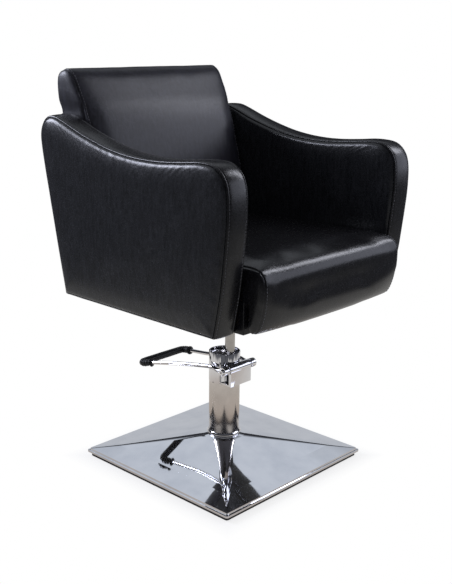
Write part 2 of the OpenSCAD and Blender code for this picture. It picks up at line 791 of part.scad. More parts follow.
// Coil between the boss and the plunger's head
spring_low_z = boss_top_z + spring_wire_r + seat_gap;
spring_high_z = plunger_top_z - plunger_head_t - spring_wire_r - seat_gap;
spring_r = plunger_r + 2 * spring_wire_r;
module plunger_spring() {
    count = spring_turns * spring_steps;
    path = [
        for (i = [0 : count])
            [
                plunger_side + spring_r * cos(360 * i / spring_steps),
                spring_r * sin(360 * i / spring_steps) - plunger_y,
                spring_low_z + (spring_high_z - spring_low_z) * i / count,
            ]
    ];
    color("#9b9da1") skin([for (i = [0 : count]) path_ring(path, i, spring_wire_r, spring_sides)]);
}

module seat_hub() {
    color("#3c3d40") at_ram(hub_z) difference() {
        cylinder(r = hub_r, h = hub_h);
        translate([0, 0, -over]) cylinder(r = ram_spigot_r + run_gap, h = hub_h + 2 * over);
    }
}

module at_mount_bolts() {
    for (x = [-1, 1], y = [-1, 1])
        translate([x * mount_half, y * mount_half - ram_offset, 0]) children();
}

module hub_plate() {
    clip_room_r = ram_spigot_r + clip_w;
    color("#3c3d40") difference() {
        at_ram(hub_plate_z) square_slab(hub_plate_w / 2, hub_plate_t, base_corner_r);
        at_ram(hub_plate_z - over) cylinder(r = clip_room_r, h = hub_plate_t + 2 * over);
        at_mount_bolts() translate([0, 0, hub_plate_z - over])
            cylinder(r = bolt_r + run_gap, h = hub_plate_t + 2 * over);
    }
}

module mount_bolts() {
    color("#9a9da2") at_mount_bolts() translate([0, 0, hub_plate_z])
        hex_bolt(bolt_r, mount_bolt_l, head_flats_r, head_t);
}

// Box of timber rails with two cross rails over the hub plate's bolts
module seat_frame() {
    depth = frame_rear_y - frame_front_y;
    inner_half = frame_half - rail_t;
    color("#b89468") difference() {
        union() {
            translate([-frame_half, frame_front_y, frame_z]) difference() {
                cube([2 * frame_half, depth, frame_h]);
                translate([rail_t, rail_t, -over])
                    cube([2 * inner_half, depth - 2 * rail_t, frame_h + 2 * over]);
            }
            for (s = [-1, 1]) translate([-inner_half, s * mount_half - ram_offset - cross_rail_w / 2, frame_z])
                cube([2 * inner_half, cross_rail_w, frame_h]);
        }
        at_mount_bolts() translate([0, 0, frame_z - over])
            cylinder(r = bolt_r + run_gap, h = mount_bolt_l);
        at_arm_bolts() translate([0, 0, -frame_half]) cylinder(r = bolt_r + run_gap, h = 2 * frame_half);
        at_back_bolts() cylinder(r = bolt_r + run_gap, h = 2 * rail_t);
    }
}

// Plywood strips that fill the gap between the seat frame and the arms' boards
module side_spacers() {
    strip_h = inner_pad_low_share * arm_h + pad_margin / 2;
    color("#c7a479") for (s = [0, 1]) mirror([s, 0, 0]) difference() {
        translate([seat_gap - arm_in_x, frame_front_y + rail_t, arm_z])
            cube([arm_in_x - frame_half - 2 * seat_gap, frame_rear_y - frame_front_y - rail_t, strip_h]);
        at_arm_bolts() translate([0, 0, -arm_in_x - over]) cylinder(r = bolt_r + run_gap, h = rail_t);
    }
}

module seat_board() {
    color("#c7a479") translate([-frame_half, frame_front_y, deck_z])
        cube([2 * frame_half, frame_rear_y - frame_front_y, deck_t]);
}

module dust_cover() {
    color("#101011") difference() {
        translate([-frame_half, frame_front_y, seat_z + dust_room])
            cube([2 * frame_half, frame_rear_y - frame_front_y, dust_t]);
        at_mount_bolts() translate([0, 0, seat_z - over]) cylinder(r = bolt_r + run_gap, h = dust_t + 2 * over);
    }
}

// Ring of a cushion at x: its outline drawn in by d, and kept above its underside and before its rear
function cushion_ring(outline, x, d, low_z, rear_y) = [
    for (p = inset(outline, d)) [x, min(p[0], rear_y), max(p[1], low_z)]
];

// Stations from the side at -1 across to the side at +1
function across(stations) = concat(
    [for (s = stations) [-s[0], s[1]]],
    [for (i = [len(stations) - 1 : -1 : 0]) stations[i]]
);

module seat_form() {
    skin([
        for (s = across(seat_station_shares))
            cushion_ring(seat_outline(), s[0] * seat_half, s[1] * (s[1] < 0 ? 2 * seat_crown : seat_side_draw),
                seat_z, seat_rear_y)
    ]);
}

module seat_cushion() {
    pocket_top = deck_top_z + seat_gap;
    color("#1a1b1f") difference() {
        seat_form();
        translate([-base_w, frame_front_y - seat_gap, seat_z - over])
            cube([2 * base_w, seat_d, pocket_top - seat_z + over]);
    }
}

// Right is the sitter's right, at -X; the left arm is its mirror image
module arm_side(side) mirror([side == "left" ? 1 : 0, 0, 0]) children();

module arm_slab(from_x, to_x, outline) {
    translate([-to_x, 0, 0]) rotate([90, 0, 90]) linear_extrude(to_x - from_x) polygon(outline);
}

module at_arm_bolts() {
    for (y = arm_bolt_ys) translate([0, y, arm_bolt_z]) rotate([0, 90, 0]) children();
}

// Frame of timber round a four-cornered opening
module arm_frame(side) {
    s = arm_outline_shares;
    corners = [
        for (k = [0, arm_rear_corner, arm_front_corner, len(s) - 1])
            [arm_front_y + s[k][0] * arm_depth, arm_z + s[k][1] * arm_h]
    ];
    color("#b89468") arm_side(side) difference() {
        arm_slab(arm_in_x + arm_board_t, arm_out_x - arm_board_t, inset(arm_outline(), band_t + seat_gap));
        arm_slab(arm_in_x, arm_out_x, inset(corners, band_t + arm_rail_w));
        at_arm_bolts() translate([0, 0, -arm_out_x]) cylinder(r = bolt_r + run_gap, h = arm_w);
    }
}

module inner_board(side) {
    color("#c7a479") arm_side(side) difference() {
        arm_slab(arm_in_x, arm_in_x + arm_board_t, inset(arm_outline(), band_t + seat_gap));
        at_arm_bolts() translate([0, 0, -arm_out_x]) cylinder(r = bolt_r + run_gap, h = 2 * arm_w);
    }
}

module outer_board(side) {
    color("#c7a479") arm_side(side)
        arm_slab(arm_out_x - arm_board_t, arm_out_x, inset(arm_outline(), band_t + seat_gap));
}

// Ring of the band at x, its outline drawn in by d
function band_ring(x, d) = [for (p = inset(arm_outline(), d)) [x, p[0], p[1]]];

// Padded band round the edge of the arm, crowned across its width
module arm_band(side) {
    mid = (arm_in_x + arm_out_x) / 2;
    half = arm_w / 2;
    color("#17181b") arm_side(side) loop_skin([
        band_ring(half - mid, band_t),
        band_ring(half - mid, band_edge),
        band_ring(half - band_edge / 2 - mid, band_edge / 4),
        band_ring(half / 2 - mid, -band_crown * 3 / 4),
        band_ring(-mid, -band_crown),
        band_ring(-half / 2 - mid, -band_crown * 3 / 4),
        band_ring(band_edge / 2 - half - mid, band_edge / 4),
        band_ring(-half - mid, band_edge),
        band_ring(-half - mid, band_t),
    ]);
}

// Crowned pad on a board whose face is at x, growing towards grow
module arm_pad(x, grow, t, low_share) {
    rings = [
        for (s = pad_layer_shares)
            [
                for (p = inset(arm_outline(low_share), pad_margin + s[1] * pad_inset))
                    [x + grow * s[0] * t, p[0], p[1]]
            ]
    ];
    top = rings[len(rings) - 1];
    hub = middle(top);
    inner_ring = [
        for (p = top)
            let (q = hub + pad_middle_share * (p - hub)) [x + grow * t, q[1], q[2]]
    ];
    layers = concat(rings, [inner_ring]);
    skin(grow < 0 ? [for (i = [len(layers) - 1 : -1 : 0]) layers[i]] : layers);
}

module inner_pad(side) {
    color("#1a1b1f") arm_side(side) arm_pad(-arm_in_x, 1, inner_pad_t, inner_pad_low_share);
}

module outer_pad(side) {
    color("#1a1b1f") arm_side(side) arm_pad(-arm_out_x, -1, outer_pad_t, 0);
}

module at_arm_bolt_heads() {
    for (s = [0, 1]) mirror([s, 0, 0]) translate([rail_t - frame_half, 0, 0])
        at_arm_bolts() mirror([0, 0, 1]) children();
}

module arm_bolts() {
    color("#9a9da2") at_arm_bolt_heads() translate([0, 0, -washer_t])
        hex_bolt(bolt_r, arm_bolt_l, head_flats_r, head_t);
}

module washer() difference() {
    cylinder(r = washer_d / 2, h = washer_t);
    translate([0, 0, -over]) cylinder(r = bolt_r + run_gap, h = washer_t + 2 * over);
}

module at_back_bolts() {
    for (x = back_bolt_xs) translate([x, frame_rear_y - rail_t, arm_bolt_z]) rotate([-90, 0, 0]) children();
}

module bolt_washers() {
    color("#c9cbce") {
        at_arm_bolt_heads() translate([0, 0, -washer_t]) washer();
        at_back_bolts() translate([0, 0, -washer_t]) washer();
    }
}

// The back's own frame: origin on the underside of its rear face, Z up along the lean
module on_back() translate([0, back_rear_y, back_z]) rotate([-back_lean, 0, 0]) children();

module back_slab(half, from_rear, t, low, high) {
    on_back() translate([-half, -from_rear - t, low]) cube([2 * half, t, high - low]);
}

module back_board() {
    color("#c7a479") difference() {
        back_slab(
            back_low_half - back_side_foam, back_panel_t + seat_gap, back_board_t, 2 * back_panel_t,
            back_panel_h - back_panel_t
        );
        at_back_bolts() cylinder(r = bolt_r + run_gap, h = back_bolt_l + over);
    }
}

function back_half(z) =
    let (t = max(0, min(1, (z - back_z) / back_h)))
    back_low_half + (back_top_half - back_low_half) * t * t;

// The face stands over the seat, and the last two points of the outline lie behind the seat's rear
module back_form() {
    outline = back_outline();
    behind_seat = len(outline) - 2;
    skin([
        for (s = across(back_station_shares))
            let (ring = inset(outline, s[1] * (s[1] < 0 ? 2 * back_crown : back_side_draw)))
            [
                for (i = [0 : len(ring) - 1])
                    let (z = max(ring[i][1], back_z))
                    [s[0] * back_half(z), i < behind_seat ? ring[i][0] : max(ring[i][0], back_front_y), z]
            ]
    ]);
}

module back_cushion() {
    front = back_panel_t + back_board_t + 2 * seat_gap;
    pocket_top = back_panel_h - back_panel_t + seat_gap;
    color("#1f2025") difference() {
        back_form();
        back_slab(back_low_half - back_side_foam + seat_gap, -back_d, back_d + front, -arm_w, pocket_top);
        back_slab(base_w, -back_d, back_d + back_panel_t + seat_gap, -arm_w, back_panel_h);
        at_back_bolts() cylinder(r = bolt_r + soft_gap, h = back_bolt_l);
    }
}

module back_panel() {
    color("#1a1b1f") intersection() {
        back_form();
        back_slab(base_w, -back_d, back_d + back_panel_t, -arm_w, back_panel_h - seat_gap);
    }
}

module back_bolts() {
    color("#9a9da2") at_back_bolts() translate([0, 0, -washer_t])
        hex_bolt(bolt_r, back_bolt_l, head_flats_r, head_t);
}

base_mat();
base_plate();
base_cover();
tube_flange();
flange_bolts();
foot_ring();
pump_tube();
inner_cylinder();
pump_head();
guide_bush();
head_lid();
wiper_seal();
ram_rod();
ram_piston();
piston_seal();
thrust_washer();
swivel_clip();
lever_shaft();
lever_cam();
pedal_bar();
pedal_eyes();
pedal_sleeve();
eye_screws();
plunger();
plunger_spring();
seat_hub();
hub_plate();
mount_bolts();
seat_frame();
side_spacers();
seat_board();
dust_cover();
seat_cushion();
arm_frame("right");  // right_arm_frame
inner_board("right");  // right_inner_board
outer_board("right");  // right_outer_board
arm_band("right");  // right_arm_band
inner_pad("right");  // right_inner_pad
outer_pad("right");  // right_outer_pad
arm_frame("left");  // left_arm_frame
inner_board("left");  // left_inner_board
outer_board("left");  // left_outer_board
arm_band("left");  // left_arm_band
inner_pad("left");  // left_inner_pad
outer_pad("left");  // left_outer_pad
arm_bolts();
bolt_washers();
back_board();
back_cushion();
back_panel();
back_bolts();
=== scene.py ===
import json
import math
from contextlib import contextmanager

import bmesh
import bpy
import numpy as np
from mathutils import Matrix, Vector, noise
from mathutils.kdtree import KDTree


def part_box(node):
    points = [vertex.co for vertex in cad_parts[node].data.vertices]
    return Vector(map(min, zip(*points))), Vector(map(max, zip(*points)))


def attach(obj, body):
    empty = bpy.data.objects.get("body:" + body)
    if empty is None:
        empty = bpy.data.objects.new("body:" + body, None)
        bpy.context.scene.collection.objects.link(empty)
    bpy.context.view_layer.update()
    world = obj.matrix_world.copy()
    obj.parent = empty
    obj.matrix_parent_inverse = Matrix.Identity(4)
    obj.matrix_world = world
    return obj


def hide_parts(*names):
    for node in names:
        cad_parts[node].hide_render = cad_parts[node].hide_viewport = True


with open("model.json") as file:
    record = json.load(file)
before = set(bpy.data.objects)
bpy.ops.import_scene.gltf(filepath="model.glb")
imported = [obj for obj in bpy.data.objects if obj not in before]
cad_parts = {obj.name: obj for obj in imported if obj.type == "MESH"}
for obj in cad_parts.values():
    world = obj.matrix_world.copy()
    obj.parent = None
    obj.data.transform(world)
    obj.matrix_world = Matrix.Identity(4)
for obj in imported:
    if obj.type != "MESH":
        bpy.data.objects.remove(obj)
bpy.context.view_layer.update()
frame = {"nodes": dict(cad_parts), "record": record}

MM = 0.001
scene = bpy.context.scene
scene.view_settings.view_transform = "Standard"


def placed(name, data):
    """A new object of the data, put into the scene."""
    made = bpy.data.objects.new(name, data)
    scene.collection.objects.link(made)
    return made


# Camera, fitted to the edges of the base, the seat and the arms in the photograph
CAMERA_PLACE = (-1.6206, -1.5402, 1.0580)
CAMERA_YAW = math.radians(43.498)
CAMERA_PITCH = math.radians(15.470)
CAMERA_ROLL = math.radians(0.587)
FOCAL_PIXELS = 936.7
FRAME_HEIGHT_PIXELS = 584
SENSOR = 36.0


def make_camera():
    ahead = Vector((
        math.cos(CAMERA_PITCH) * math.cos(CAMERA_YAW),
        math.cos(CAMERA_PITCH) * math.sin(CAMERA_YAW),
        -math.sin(CAMERA_PITCH),
    ))
    level = ahead.cross(Vector((0, 0, 1))).normalized()
    upright = level.cross(ahead)
    across = math.cos(CAMERA_ROLL) * level + math.sin(CAMERA_ROLL) * upright
    up = math.cos(CAMERA_ROLL) * upright - math.sin(CAMERA_ROLL) * level
    data = bpy.data.cameras.new("camera")
    data.sensor_width = SENSOR
    data.lens = FOCAL_PIXELS * SENSOR / FRAME_HEIGHT_PIXELS
    scene.camera = placed("camera", data)
    turn = Matrix((across, up, -ahead)).transposed().to_4x4()
    scene.camera.matrix_world = Matrix.Translation(CAMERA_PLACE) @ turn


make_camera()


# Nodes and colours
def linear(hex_colour):
    """The linear colour of an sRGB hex value."""
    parts = [int(hex_colour[i:i + 2], 16) / 255 for i in (1, 3, 5)]
    return (*[c / 12.92 if c <= 0.04045 else ((c + 0.055) / 1.055) ** 2.4 for c in parts], 1.0)


def per_mm(size):
    """The pattern scale whose features are so many millimetres wide."""
    return 1 / (size * MM)


def add(tree, kind, inputs=None, **settings):
    """Adds a node with its settings, and sets or links its inputs; a node given for an input stands for
    its first output."""
    made = tree.nodes.new(kind)
    for name, value in settings.items():
        setattr(made, name, value)
    for key, value in (inputs or {}).items():
        if isinstance(value, bpy.types.Node):
            value = value.outputs[0]
        if isinstance(value, bpy.types.NodeSocket):
            tree.links.new(value, made.inputs[key])
        else:
            made.inputs[key].default_value = value
    return made


def bare_tree(owner):
    """The node tree of a material or world, emptied."""
    owner.use_nodes = True
    owner.node_tree.nodes.clear()
    return owner.node_tree


def new_material(name, **sockets):
    """A material with one Principled shader, whose constants are given by name with _ for a space."""
    made = bpy.data.materials.new(name)
    tree = bare_tree(made)
    shader = add(tree, "ShaderNodeBsdfPrincipled", {k.replace("_", " "): v for k, v in sockets.items()})
    add(tree, "ShaderNodeOutputMaterial", {"Surface": shader})
    place = add(tree, "ShaderNodeTexCoord").outputs["Object"]
    return made, tree, shader, place


# Sockets by number, where a node has several of one name: the Mix node's for colours
MIX_SHARE, MIX_FIRST, MIX_SECOND, MIX_RESULT = 0, 6, 7, 2


def finish(surface, pattern, colours, reliefs, worn=None):
    """Lays a finish on a surface: two colours mixed along a pattern, then reliefs, each a strength, a depth
    in mm, a pattern and whether it is pressed in. worn, where given, is a pattern, its range and the
    roughness at both ends of it."""
    made, tree, shader, _ = surface
    mixed = add(tree, "ShaderNodeMix", {
        MIX_SHARE: pattern, MIX_FIRST: linear(colours[0]), MIX_SECOND: linear(colours[1])}, data_type="RGBA")
    tree.links.new(mixed.outputs[MIX_RESULT], shader.inputs["Base Color"])
    if worn:
        dulled = add(tree, "ShaderNodeMapRange", dict(enumerate(worn)))
        tree.links.new(dulled.outputs[0], shader.inputs["Roughness"])
    under = {}
    for strength, depth, height, pressed in reliefs:
        bump = add(tree, "ShaderNodeBump", {
            "Strength": strength, "Distance": depth * MM, "Height": height, **under}, invert=pressed)
        under = {"Normal": bump}
    tree.links.new(bump.outputs[0], shader.inputs["Normal"])
    return made


def vinyl(name, colours, roughness, crease_share):
    """Upholstery vinyl, embossed PVC on knitted cloth: a fine crepe grain that breaks up the shine, short
    pressed creases, and slow changes in depth where the foam under it stretches the skin."""
    surface = new_material(name, Specular_IOR_Level=0.42, Roughness=roughness, Sheen_Weight=0.0)
    _, tree, _, place = surface
    slow = add(tree, "ShaderNodeTexNoise", {"Vector": place, "Scale": per_mm(80), "Detail": 3.0})
    fine = add(tree, "ShaderNodeTexNoise", {
        "Vector": place, "Scale": per_mm(6), "Detail": 4.0, "Roughness": 0.7})
    bent = add(tree, "ShaderNodeVectorMath", {0: fine.outputs["Color"], 1: [12 * MM] * 3},
               operation="MULTIPLY")
    moved = add(tree, "ShaderNodeVectorMath", {0: place, 1: bent}, operation="ADD")
    cells = add(tree, "ShaderNodeTexVoronoi", {"Vector": moved, "Scale": per_mm(17)},
                feature="DISTANCE_TO_EDGE")
    crease = add(tree, "ShaderNodeMapRange", {
        "Value": cells.outputs["Distance"], "From Max": 0.09, "To Min": 1.0, "To Max": 0.0})
    where = add(tree, "ShaderNodeMapRange", {"Value": slow, "From Min": 0.40, "From Max": 0.70})
    creased = add(tree, "ShaderNodeMath", {0: crease, 1: where}, operation="MULTIPLY")
    drawn = add(tree, "ShaderNodeVectorMath", {0: place, 1: (1.0, 1.0, 0.22)}, operation="MULTIPLY")
    streaks = add(tree, "ShaderNodeTexNoise", {
        "Vector": drawn, "Scale": per_mm(7), "Detail": 3.0, "Roughness": 0.6})
    crepe = add(tree, "ShaderNodeTexNoise", {
        "Vector": place, "Scale": per_mm(3.2), "Detail": 2.0, "Roughness": 0.6})
    shade = add(tree, "ShaderNodeMath", {0: creased, 1: crease_share}, operation="MULTIPLY")
    mottle = add(tree, "ShaderNodeMapRange", {
        "Value": streaks, "From Min": 0.34, "From Max": 0.68, "To Max": 0.6})
    tone = add(tree, "ShaderNodeMath", {0: shade, 1: mottle}, operation="ADD", use_clamp=True)
    reliefs = [(0.05, 0.25, crepe, False), (0.12, 0.6, streaks, False), (0.25, 0.3, creased, True)]
    worn = (fine, 0.3, 0.7, roughness - 0.05, roughness + 0.06)
    return finish(surface, tone, colours, reliefs, worn)


def bright_metal(name, colours, roughness, scratch, ripple=0.0):
    """Plated or polished metal: a clear mirror with faint buffing marks, finger haze that dulls it in
    patches, and, on thin sheet, long ripples that bend what it reflects."""
    surface = new_material(name, Metallic=1.0, Roughness=roughness)
    _, tree, _, place = surface
    haze = add(tree, "ShaderNodeTexNoise", {"Vector": place, "Scale": per_mm(55), "Detail": 5.0})
    stretch = add(tree, "ShaderNodeVectorMath", {0: place, 1: (1.0, 1.0, 24.0)}, operation="MULTIPLY")
    marks = add(tree, "ShaderNodeTexNoise", {
        "Vector": stretch, "Scale": per_mm(8), "Detail": 3.0, "Roughness": 0.7})
    share = add(tree, "ShaderNodeMapRange", {"Value": haze, "From Min": 0.4, "From Max": 0.75})
    reliefs = [(scratch, 0.02, marks, False)]
    if ripple:
        waves = add(tree, "ShaderNodeTexNoise", {"Vector": place, "Scale": per_mm(85), "Detail": 0.0})
        reliefs.append((1.0, ripple, waves, False))
    worn = (haze, 0.35, 0.75, roughness * 0.8, roughness * 1.5)
    return finish(surface, share, colours, reliefs, worn)


def machined_metal(name, colours, roughness, line_mm):
    """Turned, ground or plated metal inside the pump and on the fasteners: fine tool lines round the
    axis, three to line_mm, and cloudy tarnish."""
    surface = new_material(name, Metallic=1.0, Roughness=roughness)
    _, tree, _, place = surface
    cloud = add(tree, "ShaderNodeTexNoise", {"Vector": place, "Scale": per_mm(6), "Detail": 4.0})
    lines = add(tree, "ShaderNodeTexWave", {
        "Vector": place, "Scale": per_mm(line_mm), "Distortion": 0.6}, bands_direction="Z")
    share = add(tree, "ShaderNodeMapRange", {"Value": cloud, "From Min": 0.35, "From Max": 0.7})
    return finish(surface, share, colours, [(0.2, 0.05, lines.outputs["Fac"], False)],
                  (cloud, 0.3, 0.7, roughness * 0.8, roughness * 1.3))


def painted_metal(name, colours, roughness, grain_mm):
    """Stoved enamel or powder coat: a fine orange peel with dust-grey wear on its high spots."""
    surface = new_material(name, Roughness=roughness, Specular_IOR_Level=0.45)
    _, tree, _, place = surface
    peel = add(tree, "ShaderNodeTexNoise", {"Vector": place, "Scale": per_mm(grain_mm), "Detail": 2.0})
    wear = add(tree, "ShaderNodeTexNoise", {"Vector": place, "Scale": per_mm(30), "Detail": 6.0})
    share = add(tree, "ShaderNodeMapRange", {"Value": wear, "From Min": 0.52, "From Max": 0.72})
    return finish(surface, share, colours, [(0.3, 0.15, peel, False)])


def rubber(name, colours, roughness, grain_mm):
    """Moulded rubber: a satin black skin with a grey bloom and the fine pitting of its mould."""
    surface = new_material(name, Roughness=roughness, Specular_IOR_Level=0.35)
    _, tree, _, place = surface
    bloom = add(tree, "ShaderNodeTexNoise", {"Vector": place, "Scale": per_mm(22), "Detail": 5.0})
    pits = add(tree, "ShaderNodeTexNoise", {"Vector": place, "Scale": per_mm(grain_mm), "Detail": 3.0})
    share = add(tree, "ShaderNodeMapRange", {"Value": bloom, "From Min": 0.45, "From Max": 0.75})
    return finish(surface, share, colours, [(0.25, 0.2, pits, False)],
                  (bloom, 0.3, 0.7, roughness - 0.08, roughness + 0.08))


# A wave texture draws 3.2 bands to a unit of its scale, so rings and threads come out about twice as
# coarse as the real ones, which are too fine to show
WAVE_SPREAD = 6


def wood(name, colours, ring_mm):
    """Planed softwood or birch ply: bands of early and late wood drawn out along the grain, which runs
    with Y, and short dark pores."""
    surface = new_material(name, Roughness=0.6, Specular_IOR_Level=0.3)
    _, tree, _, place = surface
    drawn = add(tree, "ShaderNodeVectorMath", {0: place, 1: (1.0, 0.07, 1.0)}, operation="MULTIPLY")
    rings = add(tree, "ShaderNodeTexWave", {
        "Vector": drawn, "Scale": per_mm(ring_mm) / WAVE_SPREAD, "Distortion": 6.0, "Detail": 3.0,
    }, wave_type="RINGS")
    pores = add(tree, "ShaderNodeTexNoise", {"Vector": drawn, "Scale": per_mm(1.5), "Detail": 4.0})
    dark = add(tree, "ShaderNodeMapRange", {"Value": pores, "From Min": 0.3, "From Max": 0.8})
    share = add(tree, "ShaderNodeMath", {0: rings.outputs["Fac"], 1: dark}, operation="MULTIPLY")
    return finish(surface, share, colours, [(0.3, 0.2, pores, False)])


def woven(name, colours, thread_mm, roughness):
    """Spun-bonded cloth or twisted polyester thread: crossed fibres that catch a soft light."""
    surface = new_material(name, Roughness=roughness, Specular_IOR_Level=0.25, Sheen_Weight=0.3)
    _, tree, _, place = surface
    warp, weft = [add(tree, "ShaderNodeTexWave", {
        "Vector": place, "Scale": per_mm(thread_mm) / WAVE_SPREAD, "Distortion": 1.5,
    }, bands_direction=way).outputs["Fac"] for way in "XY"]
    cross = add(tree, "ShaderNodeMath", {0: warp, 1: weft}, operation="MULTIPLY")
    return finish(surface, cross, colours, [(0.5, 0.2, cross, False)])


SLOT_MATERIALS = {
    "mat_rubber": rubber("ribbed_mat_rubber", ("#19191b", "#2a2a2c"), 0.75, 1.2),
    "plate_steel": painted_metal("black_enamelled_plate", ("#26262a", "#4a4a4d"), 0.45, 1.5),
    "polished_stainless": bright_metal("mirror_polished_stainless", ("#e9ebf0", "#dadde4"), 0.035, 0.02, 0.5),
    "zinc_steel": machined_metal("bright_zinc_plate", ("#b9bbc0", "#8f9094"), 0.32, 0.7),
    "chrome": bright_metal("bright_chrome_plate", ("#f1f1f3", "#e2e2e6"), 0.05, 0.03),
    "cylinder_steel": machined_metal("ground_tube_steel", ("#9d9ea3", "#707176"), 0.3, 0.5),
    "ram_steel": bright_metal("ground_hard_chrome", ("#c4c0bb", "#a5a19d"), 0.16, 0.25),
    "bronze": machined_metal("turned_bronze", ("#b4894a", "#7d5c2f"), 0.34, 0.4),
    "seal_rubber": rubber("nitrile_seal", ("#0f0f10", "#1c1c1e"), 0.42, 0.6),
    "spring_steel": machined_metal("black_oxide_steel", ("#3a3b3e", "#232325"), 0.38, 0.5),
    "pedal_rubber": rubber("moulded_sleeve_rubber", ("#0e0e0f", "#1d1d1f"), 0.46, 0.9),
    "hub_paint": painted_metal("black_powder_coat", ("#1d1d20", "#3b3b3e"), 0.5, 1.0),
    "timber": wood("planed_softwood", ("#c7a26c", "#8a6436"), 9),
    "plywood": wood("birch_plywood", ("#d2b283", "#a07c4e"), 2.2),
    "dust_cloth": woven("spun_bonded_cloth", ("#0c0c0d", "#1b1b1c"), 1.0, 0.85),
    "seat_vinyl": vinyl("seat_vinyl", ("#0b0b0d", "#161619"), 0.24, 0.4),
    # The back's vinyl is the seat's and arms' black vinyl drawn lighter: painted light for the soft light
    # that falls on the back's face
    "back_vinyl": vinyl("back_vinyl", ("#16161b", "#2c2c36"), 0.38, 0.5),
    "panel_vinyl": vinyl("panel_vinyl", ("#111215", "#222327"), 0.27, 0.5),
    "band_vinyl": vinyl("band_vinyl", ("#0b0b0d", "#17171a"), 0.28, 0.3),
}
TUBE_CHROME = bright_metal("satin_chrome_tube", ("#dcd6d1", "#c9c3be"), 0.13, 0.2)
# The stitching thread is dark; the lighter grey it is drawn in is painted highlight, so that the stitches
# show as light dashes
THREAD_PAINTED_HIGHLIGHT = woven("polyester_thread", ("#4c4c52", "#707078"), 0.8, 0.55)
# Plywood drawn near black: painted shade for the dark gap between the seat and the arms, where the side
# spacers show
PLY_PAINTED_SHADE = wood("plywood_painted_shade", ("#15120f", "#0a0908"), 2.2)
# Near-black for the faces inside the pump head's slot: painted shade in the recess
PUMP_SLOT_PAINTED_SHADE = painted_metal("pump_slot_painted_shade", ("#0b0b0c", "#1c1b1a"), 0.7, 0.8)
STAPLE_WIRE = machined_metal("galvanised_wire", ("#a3a4a8", "#77787c"), 0.35, 0.5)

NODE_SLOTS = {part["node"]: part["material_slot"] for part in frame["record"]["subparts"]}
NODE_BODIES = {node: body for body, nodes in frame["record"]["behaviour"]["bodies"].items() for node in nodes}
for node, cad_piece in frame["nodes"].items():
    for held_slot in cad_piece.material_slots:
        held_slot.material = SLOT_MATERIALS[NODE_SLOTS[node]]
# The tube gets its warm satin chrome, and the side spacers the near-black plywood that is painted shade
for node, special in (("pump_tube", TUBE_CHROME), ("side_spacers", PLY_PAINTED_SHADE)):
    for held_slot in frame["nodes"][node].material_slots:
        held_slot.material = special


# Outlines and meshes
def spline(points, steps):
    """Catmull-Rom curve through points, with a number of steps between neighbours."""
    p = np.asarray(points, float)
    last = len(p) - 1
    out = []
    for i in range(last):
        a, b, c, d = p[max(i - 1, 0)], p[i], p[i + 1], p[min(i + 2, last)]
        for k in range(steps):
            t = k / steps
            out.append((2 * b + (c - a) * t + (2 * a - 5 * b + 4 * c - d) * t * t
                        + (3 * b - a - 3 * c + d) * t ** 3) / 2)
    out.append(p[last])
    return np.array(out)


def fitted(curve, low, high):
    """The curve with its own box moved onto the box from low to high."""
    own_low, own_high = curve.min(0), curve.max(0)
    return np.asarray(low) + (curve - own_low) / (own_high - own_low) * (np.asarray(high) - np.asarray(low))


def spaced(outline, step):
    """A closed outline with its points an even step apart."""
    ring = np.vstack([outline, outline[:1]])
    run = np.concatenate([[0], np.cumsum(np.linalg.norm(np.diff(ring, axis=0), axis=1))])
    places = np.linspace(0, run[-1], round(run[-1] / step), endpoint=False)
    return np.column_stack([np.interp(places, run, ring[:, k]) for k in range(ring.shape[1])])


def softened(outline, step, width):
    """A closed, evenly spaced outline with its corners rounded over about a width."""
    reach = int(3 * width / step)
    weights = np.exp(-0.5 * (np.arange(-reach, reach + 1) * step / width) ** 2)
    weights /= weights.sum()
    return sum(w * np.roll(outline, k, axis=0) for w, k in zip(weights, range(-reach, reach + 1)))


def inset(outline, distance):
    """A closed anticlockwise outline moved inwards along its normals."""
    along = np.roll(outline, -1, axis=0) - np.roll(outline, 1, axis=0)
    along /= np.linalg.norm(along, axis=1)[:, None]
    return outline + np.column_stack([-along[:, 1], along[:, 0]]) * np.reshape(distance, (-1, 1))


def off_edge(points, outline):
    """Distance of each point from a closed outline."""
    start, end = outline, np.roll(outline, -1, axis=0)
    way = end - start
    best = np.full(len(points), 1e9)
    for s, w in zip(start, way):
        t = np.clip(((points - s) @ w) / (w @ w), 0, 1)
        best = np.minimum(best, np.linalg.norm(points - s - t[:, None] * w, axis=1))
    return best


@contextmanager
def opened(mesh):
    """The mesh's shell, open to changes until the block ends."""
    shell = bmesh.new()
    shell.from_mesh(mesh)
    yield shell
    shell.to_mesh(mesh)
    shell.free()


def smooth(mesh):
    mesh.polygons.foreach_set("use_smooth", [True] * len(mesh.polygons))


def mesh_piece(name, points, faces, smooth_angle=None):
    """A mesh object with its normals outwards and its faces smooth."""
    mesh = bpy.data.meshes.new(name)
    mesh.from_pydata([tuple(p) for p in points], [], [tuple(f) for f in faces])
    with opened(mesh) as shell:
        bmesh.ops.recalc_face_normals(shell, faces=shell.faces)
    smooth(mesh)
    if smooth_angle:
        mesh.set_sharp_from_angle(angle=math.radians(smooth_angle))
    return placed(name, mesh)


def ring_faces(count, size, looped):
    """Four-sided faces between rings of so many points, the last joined to the first where looped."""
    faces = []
    for k in range(count if looped else count - 1):
        a, b = k * size, ((k + 1) % count) * size
        faces += [(a + i, a + (i + 1) % size, b + (i + 1) % size, b + i) for i in range(size)]
    return faces


